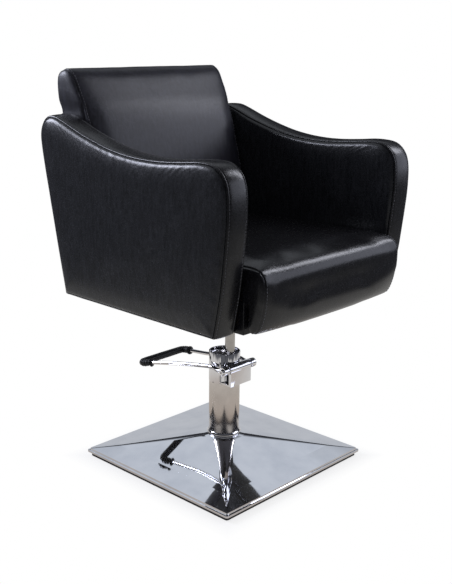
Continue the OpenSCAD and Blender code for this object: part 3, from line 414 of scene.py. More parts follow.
def skin(name, rings, looped=False, smooth_angle=None):
    """A closed piece through rings of points, its ends closed by fans unless it is looped."""
    rings = np.asarray(rings, float)
    count, size = rings.shape[:2]
    points = rings.reshape(-1, 3)
    faces = ring_faces(count, size, looped)
    if not looped:
        points = np.vstack([points, rings[0].mean(0), rings[-1].mean(0)])
        middle = count * size
        faces += [(middle, (i + 1) % size, i) for i in range(size)]
        faces += [(middle + 1, middle - size + i, middle - size + (i + 1) % size) for i in range(size)]
    return mesh_piece(name, points, faces, smooth_angle)


def baked(piece):
    """Turns what the piece's modifiers make into its own plain mesh."""
    graph = bpy.context.evaluated_depsgraph_get()
    made = bpy.data.meshes.new_from_object(
        piece.evaluated_get(graph), preserve_all_data_layers=True, depsgraph=graph)
    piece.modifiers.clear()
    piece.data = made
    return piece


def uneven(piece, depth_mm, size_mm, salt):
    """Moves the skin in and out a little, as foam and stretched vinyl lie."""
    offset = Vector((salt, 2 * salt, 3 * salt))
    scale = per_mm(size_mm)
    points = piece.data.vertices
    moved = [v.co + v.normal * (noise.noise(v.co * scale + offset) * depth_mm * MM) for v in points]
    for v, place in zip(points, moved):
        v.co = place
    piece.data.update()


def dress(piece, node, material=None):
    """Gives a piece its material, body and slot, and lets it stand for a CAD node."""
    piece.data.materials.clear()
    piece.data.materials.append(material or SLOT_MATERIALS[NODE_SLOTS[node]])
    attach(piece, NODE_BODIES[node])
    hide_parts(node)


def trim(piece):
    """Lets a piece that stands for no CAD node move with the chair."""
    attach(piece, "chair")


# Rows of stitches and staples along a path
ROW_SIZES = ("Pitch", "Length", "Width", "Height")


def row_tree():
    """Instances of a small thread or wire piece, laid end to end along a path of edges."""
    tree = bpy.data.node_groups.new("row_along_path", "GeometryNodeTree")
    face = tree.interface
    face.new_socket("Path", in_out="INPUT", socket_type="NodeSocketGeometry")
    for label in ROW_SIZES:
        face.new_socket(label, in_out="INPUT", socket_type="NodeSocketFloat")
    face.new_socket("Material", in_out="INPUT", socket_type="NodeSocketMaterial")
    face.new_socket("Row", in_out="OUTPUT", socket_type="NodeSocketGeometry")
    given = add(tree, "NodeGroupInput").outputs
    line = add(tree, "GeometryNodeMeshToCurve", {0: given["Path"]})
    spots = add(tree, "GeometryNodeResampleCurve", {"Curve": line, "Length": given["Pitch"]}, mode="LENGTH")
    ahead = add(tree, "GeometryNodeInputTangent")
    turn = add(tree, "FunctionNodeAlignRotationToVector", {"Vector": ahead}, axis="X")
    bead = add(tree, "GeometryNodeMeshUVSphere", {"Segments": 8, "Rings": 5, "Radius": 0.5})
    size = add(tree, "ShaderNodeCombineXYZ", {
        "X": given["Length"], "Y": given["Width"], "Z": given["Height"]})
    laid = add(tree, "GeometryNodeInstanceOnPoints", {
        "Points": spots, "Instance": bead.outputs["Mesh"], "Rotation": turn,
        "Scale": size})
    real = add(tree, "GeometryNodeRealizeInstances", {0: laid})
    painted = add(tree, "GeometryNodeSetMaterial", {"Geometry": real, "Material": given["Material"]})
    add(tree, "NodeGroupOutput", {0: painted})
    return tree


ROW_TREE = row_tree()


def row_piece(name, paths, material, sizes):
    """Lays a row along each path, a list of points, closed where its ends meet."""
    points, edges = [], []
    for path in paths:
        first = len(points)
        points += [tuple(p) for p in path]
        edges += [(first + i, first + i + 1) for i in range(len(path) - 1)]
    mesh = bpy.data.meshes.new(name)
    mesh.from_pydata(points, edges, [])
    piece = placed(name, mesh)
    rows = piece.modifiers.new("rows", "NODES")
    rows.node_group = ROW_TREE
    given = {label: size * MM for label, size in zip(ROW_SIZES, sizes)}
    given["Material"] = material
    for socket in ROW_TREE.interface.items_tree:
        if socket.name in given:
            rows[socket.identifier] = given[socket.name]
    baked(piece)
    smooth(piece.data)
    return piece


# Lockstitches and staples in mm: pitch, length, width and height. The thread is drawn thicker than the
# real 0.6 mm so that it shows.
STITCH = (7.2, 5.2, 1.1, 0.9)
STAPLE = (32, 10, 1.2, 0.8)


def stitches(name, paths):
    trim(row_piece(name, paths, THREAD_PAINTED_HIGHLIGHT, STITCH))


# Arms: a padded band round the edge, and a pad on each face
ARM_SHARES = [
    (0.876, 0), (0.921, 0.295), (0.960, 0.557), (0.993, 0.795), (0.998, 0.907),
    (0.966, 0.981), (0.918, 1.0), (0.857, 0.979), (0.750, 0.924), (0.603, 0.867), (0.471, 0.840),
    (0.340, 0.836), (0.225, 0.848), (0.128, 0.860), (0.0575, 0.845), (0.0115, 0.776), (0, 0.652),
    (0.0066, 0.486), (0.028, 0.224), (0.059, 0),
]
ARM_STEP = 2.5 * MM
ARM_CORNER = 3.2 * MM
BAND_CROWN = 1.5 * MM
# Half of the band's section in mm: distance from its edge, and inset from the arm's outline
BAND_SECTION = [
    (1.7, 7.0), (1.7, 5.8), (1.0, 5.0), (0.2, 4.2), (0, 3.2), (0.3, 2.1), (0.9, 1.2), (1.8, 0.6), (2.9, 0.3),
    (3.9, 0.35), (4.6, 0.8), (5.1, 0.9), (5.6, 0.7), (6.4, 0.1), (8, -0.25), (12, -0.7), (17, -1.1),
    (23, -1.35),
]
STITCH_ROW_POINT = 11
# Rings of a pad in mm in from its seam
PAD_RINGS = [0, 0.6, 1.4, 2.6, 4.2, 6.2, 8.8, 12, 16, 21, 28, 38, 52, 70, 92, 118, 146, 174]
PAD_TUCK = 1.0 * MM
# Rings under a pad: mm in from its seam, and height over its board, the last ring at a share of the way in
PAD_BACK_RINGS = [(3, -1.3), (8.5, -1.3), (13, 0.1)]
PAD_BACK_SHARE = 0.6
PAD_BACK_HEIGHT = 0.1
# How far in from the seam a pad's crown rises
CROWN_REACH = 90 * MM
# The seam's thread pulls the edge in here and there: spacing, depth, and where the pull starts and fades
PULL_SPACING = 17 * MM
PULL_DEPTH = 0.55 * MM
PULL_FROM = 5 * MM
PULL_REACH = 16 * MM
OUTER_SEAM_INSET = 4.6 * MM
PAD_ROUNDING = 46 * MM
# The tight part of a pad's rounded edge, as shares of the rounding's width and of its rise
EDGE_ROUNDING_SHARE = 0.2
EDGE_RISE_SHARE = 0.5


def arm_outline(node, low_share=0.0):
    """The arm's outline in the plane across the chair, with its lower corners rounded."""
    low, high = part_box(node)
    curve = spline(ARM_SHARES, 8)
    curve = fitted(curve, (low.y + BAND_CROWN, low.z + BAND_CROWN),
                   (high.y - BAND_CROWN, high.z - BAND_CROWN))
    if low_share:
        floor = curve[:, 1].min() + low_share * np.ptp(curve[:, 1])
        curve = curve[curve[:, 1] >= floor]
    return softened(spaced(curve, ARM_STEP), ARM_STEP, ARM_CORNER)


def arm_band(side, sign):
    node = side + "_arm_band"
    low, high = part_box(node)
    outline = arm_outline(node)
    inner, outer = sorted((abs(low.x), abs(high.x)))
    half, middle = (outer - inner) / 2, (outer + inner) / 2
    section = [(half - e * MM, d * MM) for e, d in BAND_SECTION]
    section += [(0, -BAND_CROWN)]
    section += [(e * MM - half, d * MM) for e, d in reversed(BAND_SECTION)]
    rings = []
    for off, depth in section:
        ring = inset(outline, depth)
        rings.append(np.column_stack([np.full(len(ring), sign * (middle + off)), ring]))
    piece = skin(node, rings, looped=True)
    uneven(piece, depth_mm=0.35, size_mm=45, salt=3)
    dress(piece, node)
    paths = [np.vstack([r, r[:1]]) for r in (rings[STITCH_ROW_POINT], rings[-1 - STITCH_ROW_POINT])]
    stitches(side + "_band_stitches", paths)


def pad_piece(name, outline, to_space, thickness, rounding, crown, salt):
    """A pad on a flat board: to_space takes points in the board's plane and their heights over it."""
    centre = (outline.min(0) + outline.max(0)) / 2
    reach = np.linalg.norm(outline - centre, axis=1).mean()
    rings = []
    for k, depth in enumerate(PAD_RINGS):
        ring = centre + (outline - centre) * (1 - depth * MM / reach)
        away = off_edge(ring, outline) if k else np.zeros(len(ring))
        edge = np.sqrt(1 - (1 - np.clip(away / (EDGE_ROUNDING_SHARE * rounding), 0, 1)) ** 2)
        pillow = 1 - (1 - np.clip(away / rounding, 0, 1)) ** 2
        rise = EDGE_RISE_SHARE * edge + (1 - EDGE_RISE_SHARE) * pillow
        height = -PAD_TUCK + (thickness + PAD_TUCK) * rise
        height += crown * (1 - np.exp(-away / CROWN_REACH))
        run = np.arange(len(ring)) * ARM_STEP
        pulls = np.array([noise.noise(Vector((s / PULL_SPACING, salt, 0))) for s in run])
        height += PULL_DEPTH * pulls * np.exp(-away / PULL_REACH) * np.clip(away / PULL_FROM, 0, 1)
        rings.append(to_space(ring, height))
    back = []
    for depth, height in PAD_BACK_RINGS + [(reach / MM * PAD_BACK_SHARE, PAD_BACK_HEIGHT)]:
        ring = centre + (outline - centre) * (1 - depth * MM / reach)
        back.append(to_space(ring, np.full(len(ring), height * MM)))
    return skin(name, back[::-1] + rings)


# Each kind of arm pad: the way it grows from its board, how much of the arm's foot it leaves out, its crown
PAD_KINDS = {"outer": (1, 0.0, 2.2 * MM), "inner": (-1, 0.11, 0.6 * MM)}
PAD_CLEARANCE = 0.8 * MM


def arm_pad(side, sign, kind):
    node = f"{side}_{kind}_pad"
    low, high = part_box(node)
    grow, low_share, crown = PAD_KINDS[kind]
    face, far = sorted((abs(low.x), abs(high.x)), reverse=grow < 0)
    thickness = abs(far - face) - PAD_CLEARANCE
    outline = spaced(inset(arm_outline(side + "_arm_band", low_share), OUTER_SEAM_INSET), ARM_STEP)

    def to_space(points, height):
        return np.column_stack([sign * (face + grow * height), points])

    piece = pad_piece(node, outline, to_space, thickness, PAD_ROUNDING, crown, 5 + sign + grow)
    uneven(piece, depth_mm=0.5, size_mm=75, salt=7 + sign + grow)
    dress(piece, node)


for arm, direction in (("right", -1), ("left", 1)):
    arm_band(arm, direction)
    arm_pad(arm, direction, "outer")
    arm_pad(arm, direction, "inner")


# Seat and back cushions, blown up as cloth over foam
VOXEL = 7 * MM
CLOTH_PRESSURE = 4.0
CLOTH_FRAMES = 20
SMOOTHINGS = 10


def blown(piece, cap, held):
    """Presses the piece's cloth out with air. held says which points stay, and cap, for the points
    as an array, how far each may move."""
    remesh = piece.modifiers.new("remesh", "REMESH")
    remesh.mode = "VOXEL"
    remesh.voxel_size = VOXEL
    baked(piece)
    mesh = piece.data
    rest = np.array([v.co for v in mesh.vertices])
    group = piece.vertex_groups.new(name="held")
    group.add([int(i) for i in np.flatnonzero(held(rest))], 1.0, "REPLACE")
    cloth = piece.modifiers.new("cloth", "CLOTH")
    cloth.settings.use_pressure = True
    cloth.settings.uniform_pressure_force = CLOTH_PRESSURE
    cloth.settings.vertex_group_mass = "held"
    cloth.settings.effector_weights.gravity = 0
    cloth.point_cache.frame_start = 1
    cloth.point_cache.frame_end = CLOTH_FRAMES
    for step in range(1, CLOTH_FRAMES + 1):
        scene.frame_set(step)
    grown = piece.evaluated_get(bpy.context.evaluated_depsgraph_get())
    moved = np.array([v.co for v in grown.data.vertices]) - rest
    far = np.linalg.norm(moved, axis=1)
    limit = cap(rest)
    share = np.where(far > 0, limit * np.tanh(far / limit) / np.maximum(far, 1e-9), 0)
    piece.modifiers.clear()
    piece.vertex_groups.clear()
    mesh.vertices.foreach_set("co", (rest + moved * share[:, None]).astype(np.float32).ravel())
    scene.frame_set(1)
    with opened(mesh) as shell:
        for _ in range(SMOOTHINGS):
            bmesh.ops.smooth_vert(shell, verts=shell.verts, factor=0.5, use_axis_x=True, use_axis_y=True,
                                  use_axis_z=True)
    finer = piece.modifiers.new("finer", "SUBSURF")
    finer.levels = finer.render_levels = 1
    baked(piece)
    smooth(piece.data)


def places_of(piece):
    return np.array([v.co for v in piece.data.vertices])


def move_to(piece, places):
    piece.data.vertices.foreach_set("co", places.astype(np.float32).ravel())
    piece.data.update()


def stretched(piece, axis, anchor, reach):
    """Stretches the piece along an axis from an anchor, until its far side lies at reach."""
    places = places_of(piece)
    off = (places[:, axis] - anchor) * math.copysign(1, reach - anchor)
    places[:, axis] = anchor + (places[:, axis] - anchor) * abs(reach - anchor) / off.max()
    move_to(piece, places)


def side_fitted(piece, half_at, slices=24):
    """Widens the piece, slice by slice up its height, to its pattern's half width there."""
    places = places_of(piece)
    levels = np.linspace(places[:, 2].min(), places[:, 2].max(), slices + 1)
    middles = (levels[1:] + levels[:-1]) / 2
    wide = [np.abs(places[(places[:, 2] >= a) & (places[:, 2] <= b), 0]).max()
            for a, b in zip(levels, levels[1:])]
    factor = half_at(middles) / np.array(wide)
    # The two top slices are round, and keep the factor below them
    factor[-2:] = factor[-3]
    places[:, 0] *= np.interp(places[:, 2], middles, factor)
    move_to(piece, places)


SEAM_DEPTH = 1.7 * MM
SEAM_WIDTH = 1.5 * MM
# Cuts along a seam, in mm across it, the last of which is the stitch row
SEAM_CUTS = (-3.2, -1.6, -0.8, 0, 0.8, 1.6, 3.2, -4.5)
STITCH_LIFT = 0.25 * MM


def seam(piece, point, across, shown):
    """Draws a sewn seam into the piece along a plane, and returns the stitch row's edges beside it:
    across points from the stitched side to the other, and shown says which places have stitches."""
    with opened(piece.data) as shell:
        for off in SEAM_CUTS:
            row = bmesh.ops.bisect_plane(
                shell, geom=shell.verts[:] + shell.edges[:] + shell.faces[:], dist=1e-7,
                plane_co=point + across * off * MM, plane_no=across)
        shell.normal_update()
        cut = [g for g in row["geom_cut"] if isinstance(g, bmesh.types.BMEdge)]
        paths = [[v.co + v.normal * STITCH_LIFT for v in e.verts]
                 for e in cut if all(shown(v.co) for v in e.verts)]
        moves = []
        for v in shell.verts:
            off = (v.co - point).dot(across)
            if abs(off) < 4 * SEAM_WIDTH:
                moves.append((v, v.co - v.normal * SEAM_DEPTH * math.exp(-(off / SEAM_WIDTH) ** 2)))
        for v, place in moves:
            v.co = place
    smooth(piece.data)
    return joined(paths)


def joined(pairs):
    """Single edges, as pairs of points, put end to end into paths."""
    tree = KDTree(2 * len(pairs))
    for i, pair in enumerate(pairs):
        tree.insert(pair[0], 2 * i)
        tree.insert(pair[1], 2 * i + 1)
    tree.balance()
    unused = set(range(len(pairs)))
    paths = []
    while unused:
        edge = min(unused)
        unused.remove(edge)
        path = list(pairs[edge])
        for _ in range(2):
            while True:
                found = [n for _, n, _ in tree.find_range(path[-1], 0.02 * MM) if n // 2 in unused]
                if not found:
                    break
                unused.remove(found[0] // 2)
                path.append(pairs[found[0] // 2][1 - found[0] % 2])
            path.reverse()
        paths.append(path)
    return [p for p in paths if len(p) > 3]


SEAT_SHARES = [
    (0, 0.90), (0.012, 0.94), (0.12, 0.955), (0.35, 0.975), (0.62, 0.992), (0.85, 1.0), (0.945, 0.99),
    (0.983, 0.925), (1.0, 0.80), (0.998, 0.62), (0.986, 0.38), (0.962, 0.13), (0.936, 0),
]
CAD_SEAT_CROWN = 5.5 * MM
CUSHION_STEP = 4 * MM
# The lowest part of a cushion, tacked down and held flat
HEM = 9 * MM
# Stations across half a cushion: distance from its side and inset of its outline, both in mm
CUSHION_STATIONS = [
    (0, 5), (0.6, 3), (1.6, 1.6), (3.2, 0.6), (5.5, 0.1), (9, 0), (12, 0), (20, -0.3), (45, -1.2), (90, -2.4),
    (150, -3.4), (210, -3.9),
]
# The cloth swells by about this much, so the cushion starts that much smaller
SWELL = 3.0 * MM
SEAM_FROM_SIDE = 9 * MM
# The foam along a cushion's sides, which fits between the arms, and how far it may swell
SIDE_PART = 6 * MM
SIDE_LIMIT = 1.0 * MM
SEAT_LIMIT = 8 * MM
SEAT_REAR_PART = 25 * MM
# The seat's foam is glued to its deck and round the frame's front: how far before it and over it
GLUED_BEFORE = 14 * MM
GLUED_OVER = 12 * MM
# Where the seat's rows of stitches end, over its lower edge and before its rear one
STITCHES_OVER_HEM = 12 * MM
STITCHES_BEFORE_REAR = 20 * MM


def cushion_piece(name, outline, half_at):
    """A cushion through stations across it; half_at gives its half width at points of the outline."""
    rings = []
    for from_side, depth in CUSHION_STATIONS + [(None, -3.9)]:
        ring = inset(outline, depth * MM + SWELL)
        x = np.zeros(len(ring)) if from_side is None else from_side * MM - half_at(ring)
        rings.append(np.column_stack([x, ring]))
    mirrored = [r * (-1, 1, 1) for r in rings[-2::-1]]
    return skin(name, rings + mirrored)


def seat_cushion():
    low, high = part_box("seat_cushion")
    frame_low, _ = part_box("seat_frame")
    deck_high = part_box("seat_board")[1].z + 1 * MM
    front, rear, under, top = low.y + CAD_SEAT_CROWN, high.y, low.z, high.z - CAD_SEAT_CROWN
    curve = spline([(rear - s[0] * (rear - front), under + s[1] * (top - under)) for s in SEAT_SHARES], 6)
    pocket = [(frame_low.y - 1 * MM, under), (frame_low.y - 1 * MM, deck_high), (rear, deck_high)]
    outline = spaced(np.vstack([curve, pocket]), CUSHION_STEP)
    half = high.x - 0.8 * MM
    piece = cushion_piece("seat_cushion_cover", outline, lambda ring: np.full(len(ring), half))

    def held(p):
        on_deck = (p[:, 1] > frame_low.y - GLUED_BEFORE) & (p[:, 2] < deck_high + GLUED_OVER)
        return on_deck | (p[:, 2] < under + HEM)

    def cap(p):
        side = np.abs(p[:, 0]) > half - SIDE_PART
        return np.where(side | (p[:, 1] > rear - SEAT_REAR_PART), SIDE_LIMIT, SEAT_LIMIT)

    blown(piece, cap, held)
    stretched(piece, 0, 0, half)
    stretched(piece, 1, rear, low.y)
    stretched(piece, 2, under, high.z)
    stretched(piece, 2, high.z, under)
    paths = []
    for sign in (-1, 1):
        paths += seam(piece, Vector((sign * (half - SEAM_FROM_SIDE), 0, 0)), Vector((sign, 0, 0)),
                      lambda p: p.z > under + STITCHES_OVER_HEM and p.y < rear - STITCHES_BEFORE_REAR)
    dress(piece, "seat_cushion")
    stitches("seat_stitches", paths)


BACK_SHARES = [
    (0.296, 0), (0.60, 0.30), (0.948, 0.798), (1.0, 0.93), (0.965, 0.965), (0.87, 0.988), (0.74, 1.0),
    (0.62, 0.994), (0.50, 0.967), (0.39, 0.918), (0.289, 0.875), (0.148, 0.817), (0.015, 0.73),
    (-0.141, 0.586), (-0.252, 0.441),
]
CAD_BACK_CROWN = 4 * MM
BACK_LEAN = math.radians(12)
PANEL_HEIGHT = 425 * MM
PANEL_THICKNESS = 8 * MM
# The back swells past the arms' inner pads once it stands clear of their tops
BACK_ROOM = 1.0 * MM
BACK_BULGE = 6.5 * MM
BULGE_RISE = 40 * MM
FOOT_ROUNDING = 14 * MM
# The back's foam is glued to its board, to this depth, and sits behind the seat: how high and deep
GLUED_TO_BOARD = 12 * MM
BY_SEAT = (8 * MM, 9 * MM)
# How far the back may swell where its sides are free, and over its face
FREE_SIDE_LIMIT = 3 * MM
BACK_LIMIT = 7 * MM
# The recess for the rear panel: its room, how far below the panel's top it opens, and over what height
RECESS_ROOM = 0.4 * MM
RECESS_OVERLAP = 2 * MM
RECESS_FADE = 5 * MM
RECESS_OPEN = 40 * MM
# The back's seams run through two places on each side, below its top and over its foot, and their
# stitches begin this far before its board
SEAM_UPPER = 20 * MM
SEAM_LOWER = 180 * MM
STITCHES_BEFORE_BOARD = 16 * MM
back_low, back_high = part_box("back_cushion")
back_front_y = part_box("seat_cushion")[1].y + 2 * MM
back_foot_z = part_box("seat_cushion")[1].z + 4 * MM
back_depth = back_high.y - CAD_BACK_CROWN - back_front_y
back_rear_y = back_front_y + BACK_SHARES[0][0] * back_depth
pads_inner_x = abs(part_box("left_inner_pad")[0].x)
pads_top_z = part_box("left_inner_pad")[1].z


def back_half(z):
    """Half width of the back at a height."""
    t = np.clip((z - pads_top_z) / BULGE_RISE, 0, 1)
    return pads_inner_x - BACK_ROOM + BACK_BULGE * t * t * (3 - 2 * t)


def to_lean(y, z):
    """Place in the back's own frame: how far behind its rear face, and how high along the lean."""
    off_y, off_z = y - back_rear_y, z - back_low.z
    return (off_y * math.cos(BACK_LEAN) - off_z * math.sin(BACK_LEAN),
            off_y * math.sin(BACK_LEAN) + off_z * math.cos(BACK_LEAN))


def from_lean(behind, along):
    return (back_rear_y + behind * math.cos(BACK_LEAN) + along * math.sin(BACK_LEAN),
            back_low.z - behind * math.sin(BACK_LEAN) + along * math.cos(BACK_LEAN))


def back_cushion():
    height = back_high.z - CAD_BACK_CROWN - back_low.z
    foot_y = back_low.y + CAD_BACK_CROWN
    face = [(back_front_y + s[0] * back_depth, back_low.z + s[1] * height) for s in BACK_SHARES]
    foot = [(foot_y + FOOT_ROUNDING * (1 - math.cos(turn)),
             back_foot_z + FOOT_ROUNDING * (1 - math.sin(turn))) for turn in (0, math.pi / 4, math.pi / 2)]
    curve = np.vstack([spline(face + foot, 6), [(back_front_y, back_foot_z), (back_front_y, back_low.z)]])
    outline = spaced(curve, CUSHION_STEP)
    piece = cushion_piece("back_cushion_cover", outline, lambda ring: back_half(ring[:, 1]))

    def held(p):
        behind, along = to_lean(p[:, 1], p[:, 2])
        by_seat = (p[:, 2] < back_foot_z + BY_SEAT[0]) & (p[:, 1] < back_front_y + BY_SEAT[1])
        on_board = (behind > -GLUED_TO_BOARD) & (along < PANEL_HEIGHT)
        return on_board | (p[:, 2] < back_low.z + HEM) | by_seat

    def cap(p):
        side = np.abs(p[:, 0]) > back_half(p[:, 2]) - SIDE_PART
        held_in = p[:, 2] < pads_top_z
        return np.where(side & held_in, SIDE_LIMIT, np.where(side, FREE_SIDE_LIMIT, BACK_LIMIT))

    blown(piece, cap, held)
    side_fitted(piece, back_half)
    stretched(piece, 2, back_low.z, back_high.z)
    stretched(piece, 1, back_low.y, back_high.y)
    for v in piece.data.vertices:
        if v.co.z < back_foot_z - 1 * MM:
            v.co.y = max(v.co.y, back_front_y - 0.5 * MM)
    # The rear panel lies in a recess of its own thickness
    for v in piece.data.vertices:
        behind, along = to_lean(v.co.y, v.co.z)
        fade = min(1, max(0, (along - PANEL_HEIGHT + RECESS_OVERLAP) / RECESS_FADE))
        limit = -PANEL_THICKNESS - RECESS_ROOM + RECESS_OPEN * fade * fade
        if behind > limit:
            v.co.y, v.co.z = from_lean(limit, along)
    for sign in (-1, 1):
        fold_in(piece, sign)
    piece.data.update()
    paths = []
    upper, lower = back_high.z - SEAM_UPPER, back_low.z + SEAM_LOWER
    for sign in (-1, 1):
        high_x, low_x = back_half(upper) - SEAM_FROM_SIDE, back_half(lower) - SEAM_FROM_SIDE
        across = Vector((upper - lower, 0, low_x - high_x)).normalized()
        across.x *= sign
        paths += seam(piece, Vector((sign * high_x, 0, upper)), across,
                      lambda p: p.z > back_foot_z and to_lean(p.y, p.z)[0] < -STITCHES_BEFORE_BOARD)
    dress(piece, "back_cushion")
    stitches("back_stitches", paths)


# A soft fold across each side of the back, where the vinyl turns over the top roll
FOLD_ALONG = 442 * MM
FOLD_SLOPE = 0.16
FOLD_DEPTH = 1.1 * MM
FOLD_WIDTH = 12 * MM
FOLD_SWELL_SHARE = 0.5
FOLD_SWELL_AFTER = 13 * MM
FOLD_REACH = 16 * MM


def fold_in(piece, sign):
    for v in piece.data.vertices:
        edge = back_half(v.co.z) - sign * v.co.x
        if edge < FOLD_REACH:
            behind, along = to_lean(v.co.y, v.co.z)
            off = along - FOLD_ALONG - FOLD_SLOPE * behind
            swell = FOLD_SWELL_SHARE * math.exp(-((off + FOLD_SWELL_AFTER) / FOLD_WIDTH) ** 2)
            dip = math.exp(-(off / FOLD_WIDTH) ** 2) - swell
            v.co.x -= sign * FOLD_DEPTH * dip * (1 - edge / FOLD_REACH)


PANEL_SIDE_MARGIN = 1.2 * MM
PANEL_TOP_MARGIN = 0.6 * MM
PANEL_FOOT = 3 * MM


def back_panel():
    """The upholstered panel that closes the rear of the back."""
    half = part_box("back_panel")[1].x - PANEL_SIDE_MARGIN
    tall = PANEL_HEIGHT - PANEL_TOP_MARGIN
    corners = np.array([(-half, PANEL_FOOT), (half, PANEL_FOOT), (half, tall), (-half, tall)])
    outline = softened(spaced(corners, ARM_STEP), ARM_STEP, ARM_CORNER)

    def to_space(points, height):
        y, z = from_lean(height - PANEL_THICKNESS, points[:, 1])
        return np.column_stack([points[:, 0], y, z])

    piece = pad_piece("back_panel_cover", outline, to_space, thickness=PANEL_THICKNESS - 0.5 * MM,
                      rounding=11 * MM, crown=1.5 * MM, salt=31)
    uneven(piece, depth_mm=0.5, size_mm=90, salt=23)
    dress(piece, "back_panel")


FLAP_THICKNESS = 1.3 * MM
FLAP_RETURN = 30 * MM
FLAP_BEND = 0.3 * MM
FLAP_LEVELS = 8


def seat_flap(side, sign):
    """The cushion's vinyl, wrapped round a front corner of the timber frame and tacked there."""
    low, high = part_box("seat_frame")
    deck_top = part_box("seat_board")[1].z
    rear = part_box("side_spacers")[0].y - 0.5 * MM
    inner, front = high.x + 0.1 * MM, low.y - 0.1 * MM
    turns = np.linspace(0, math.pi / 2, 6)

    def path(gap):
        reach = gap + FLAP_BEND
        bend = [(inner - FLAP_BEND + reach * math.cos(t), front + FLAP_BEND - reach * math.sin(t))
                for t in turns]
        return [(inner + gap, rear)] + bend + [(inner - FLAP_RETURN, front - gap)]

    section = path(FLAP_THICKNESS) + path(0)[::-1]
    size = len(section)
    levels = np.linspace(low.z + 0.5 * MM, deck_top + 4 * MM, FLAP_LEVELS)
    points = [(sign * x, y, z) for z in levels for x, y in section]
    last = (FLAP_LEVELS - 1) * size
    caps = [(i + base, i + 1 + base, size - 2 - i + base, size - 1 - i + base)
            for base in (0, last) for i in range(size // 2 - 1)]
    piece = mesh_piece(f"{side}_seat_flap", points, ring_faces(FLAP_LEVELS, size, False) + caps, 50)
    piece.data.materials.append(SLOT_MATERIALS["seat_vinyl"])
    trim(piece)


seat_cushion()
back_cushion()
back_panel()
for flap_side, flap_sign in (("right", -1), ("left", 1)):
    seat_flap(flap_side, flap_sign)


# Dust cover: thin black cloth stapled under the seat frame
DUST_STEP = 10 * MM
DUST_SAG = 3.5 * MM
# The cloth lies flat on the frame's rails, and sags over this far from them and from the hub plate
RAIL_WIDTH = 30 * MM
SAG_FROM_RAIL = 60 * MM
SAG_FROM_PLATE = 50 * MM
STAPLE_INSET = 12 * MM


def dust_cover():
    low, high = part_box("dust_cover")
    plate_low, plate_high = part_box("hub_plate")
    level = (low.z + high.z) / 2
    xs = np.linspace(low.x, high.x, round((high.x - low.x) / DUST_STEP))
    ys = np.linspace(low.y, high.y, round((high.y - low.y) / DUST_STEP))
    points = []
    for y in ys:
        for x in xs:
            from_edge = min(x - low.x, high.x - x, y - low.y, high.y - y) - RAIL_WIDTH
            from_plate = max(plate_low.x - x, x - plate_high.x, plate_low.y - y, y - plate_high.y)
            share = min(1, max(0, from_edge / SAG_FROM_RAIL)) * min(1, max(0, from_plate / SAG_FROM_PLATE))
            points.append((x, y, level - DUST_SAG * share * share * (3 - 2 * share)))
    wide = len(xs)
    faces = [(j * wide + i, (j + 1) * wide + i, (j + 1) * wide + i + 1, j * wide + i + 1)
             for j in range(len(ys) - 1) for i in range(wide - 1)]
    piece = mesh_piece("dust_cloth_sheet", points, faces)
    dress(piece, "dust_cover")
    left, right = low.x + STAPLE_INSET, high.x - STAPLE_INSET
    front, rear = low.y + STAPLE_INSET, high.y - STAPLE_INSET
    at = level - 0.4 * MM
    route = [(left, front, at), (right, front, at), (right, rear, at), (left, rear, at), (left, front, at)]
    trim(row_piece("cover_staples", [route], STAPLE_WIRE, STAPLE))


dust_cover()


# Base cover: flat sides and conical corners between the square fold and the round hole
COVER_CORNER = 6 * MM
COVER_SHEET = 1.5 * MM
COVER_ARC_STEPS = 34
COVER_TIP = 0.02
COVER_SIDE_SHARES = (0.01, 0.15, 0.3, 0.5, 0.7, 0.85, 0.99)
COVER_SLOPE_STEPS = 56
# The pressed sheet sags between its fold and the neck, and sweeps up to the tube: depth, height, reach
SAG = 0.8 * MM
SWEEP = 4.6 * MM
SWEEP_SHARE = 0.11
# Rim from the fold outwards and down, in mm
RIM_PROFILE = [(0, 0), (0.7, -3.8), (5.0, -4.6), (5.0, -9.5)]


def cover_ring(corner_place):
    """Points round the cover; corner_place gives a point of a corner's arc by quarter and share."""
    ring = []
    for quarter in range(4):
        arc = [corner_place(quarter, k / COVER_ARC_STEPS) for k in range(COVER_ARC_STEPS + 1)]
        following = corner_place((quarter + 1) % 4, 0)
        ring += arc
        ring += [arc[-1] + (following - arc[-1]) * s for s in COVER_SIDE_SHARES]
    return np.array(ring)


def cover_square(half, z, corner=COVER_CORNER):
    def place(quarter, share):
        middle = math.radians(45 + 90 * quarter)
        turn = math.radians(90 * (quarter + share))
        reach = (half - corner) * math.sqrt(2)
        return np.array([reach * math.cos(middle) + corner * math.cos(turn),
                         reach * math.sin(middle) + corner * math.sin(turn), z])
    return cover_ring(place)


def cover_circle(radius, z):
    def place(quarter, share):
        turn = math.radians(45 + 90 * quarter + 90 * (share - 0.5) * (1 - COVER_TIP))
        return np.array([radius * math.cos(turn), radius * math.sin(turn), z])
    return cover_ring(place)


def dish(share):
    """Height of the pressed sheet over a flat slope, at a share of the way up."""
    sweep = SWEEP * (math.exp(-(1 - share) / SWEEP_SHARE) - share)
    return sweep - 4 * SAG * share * (1 - share)


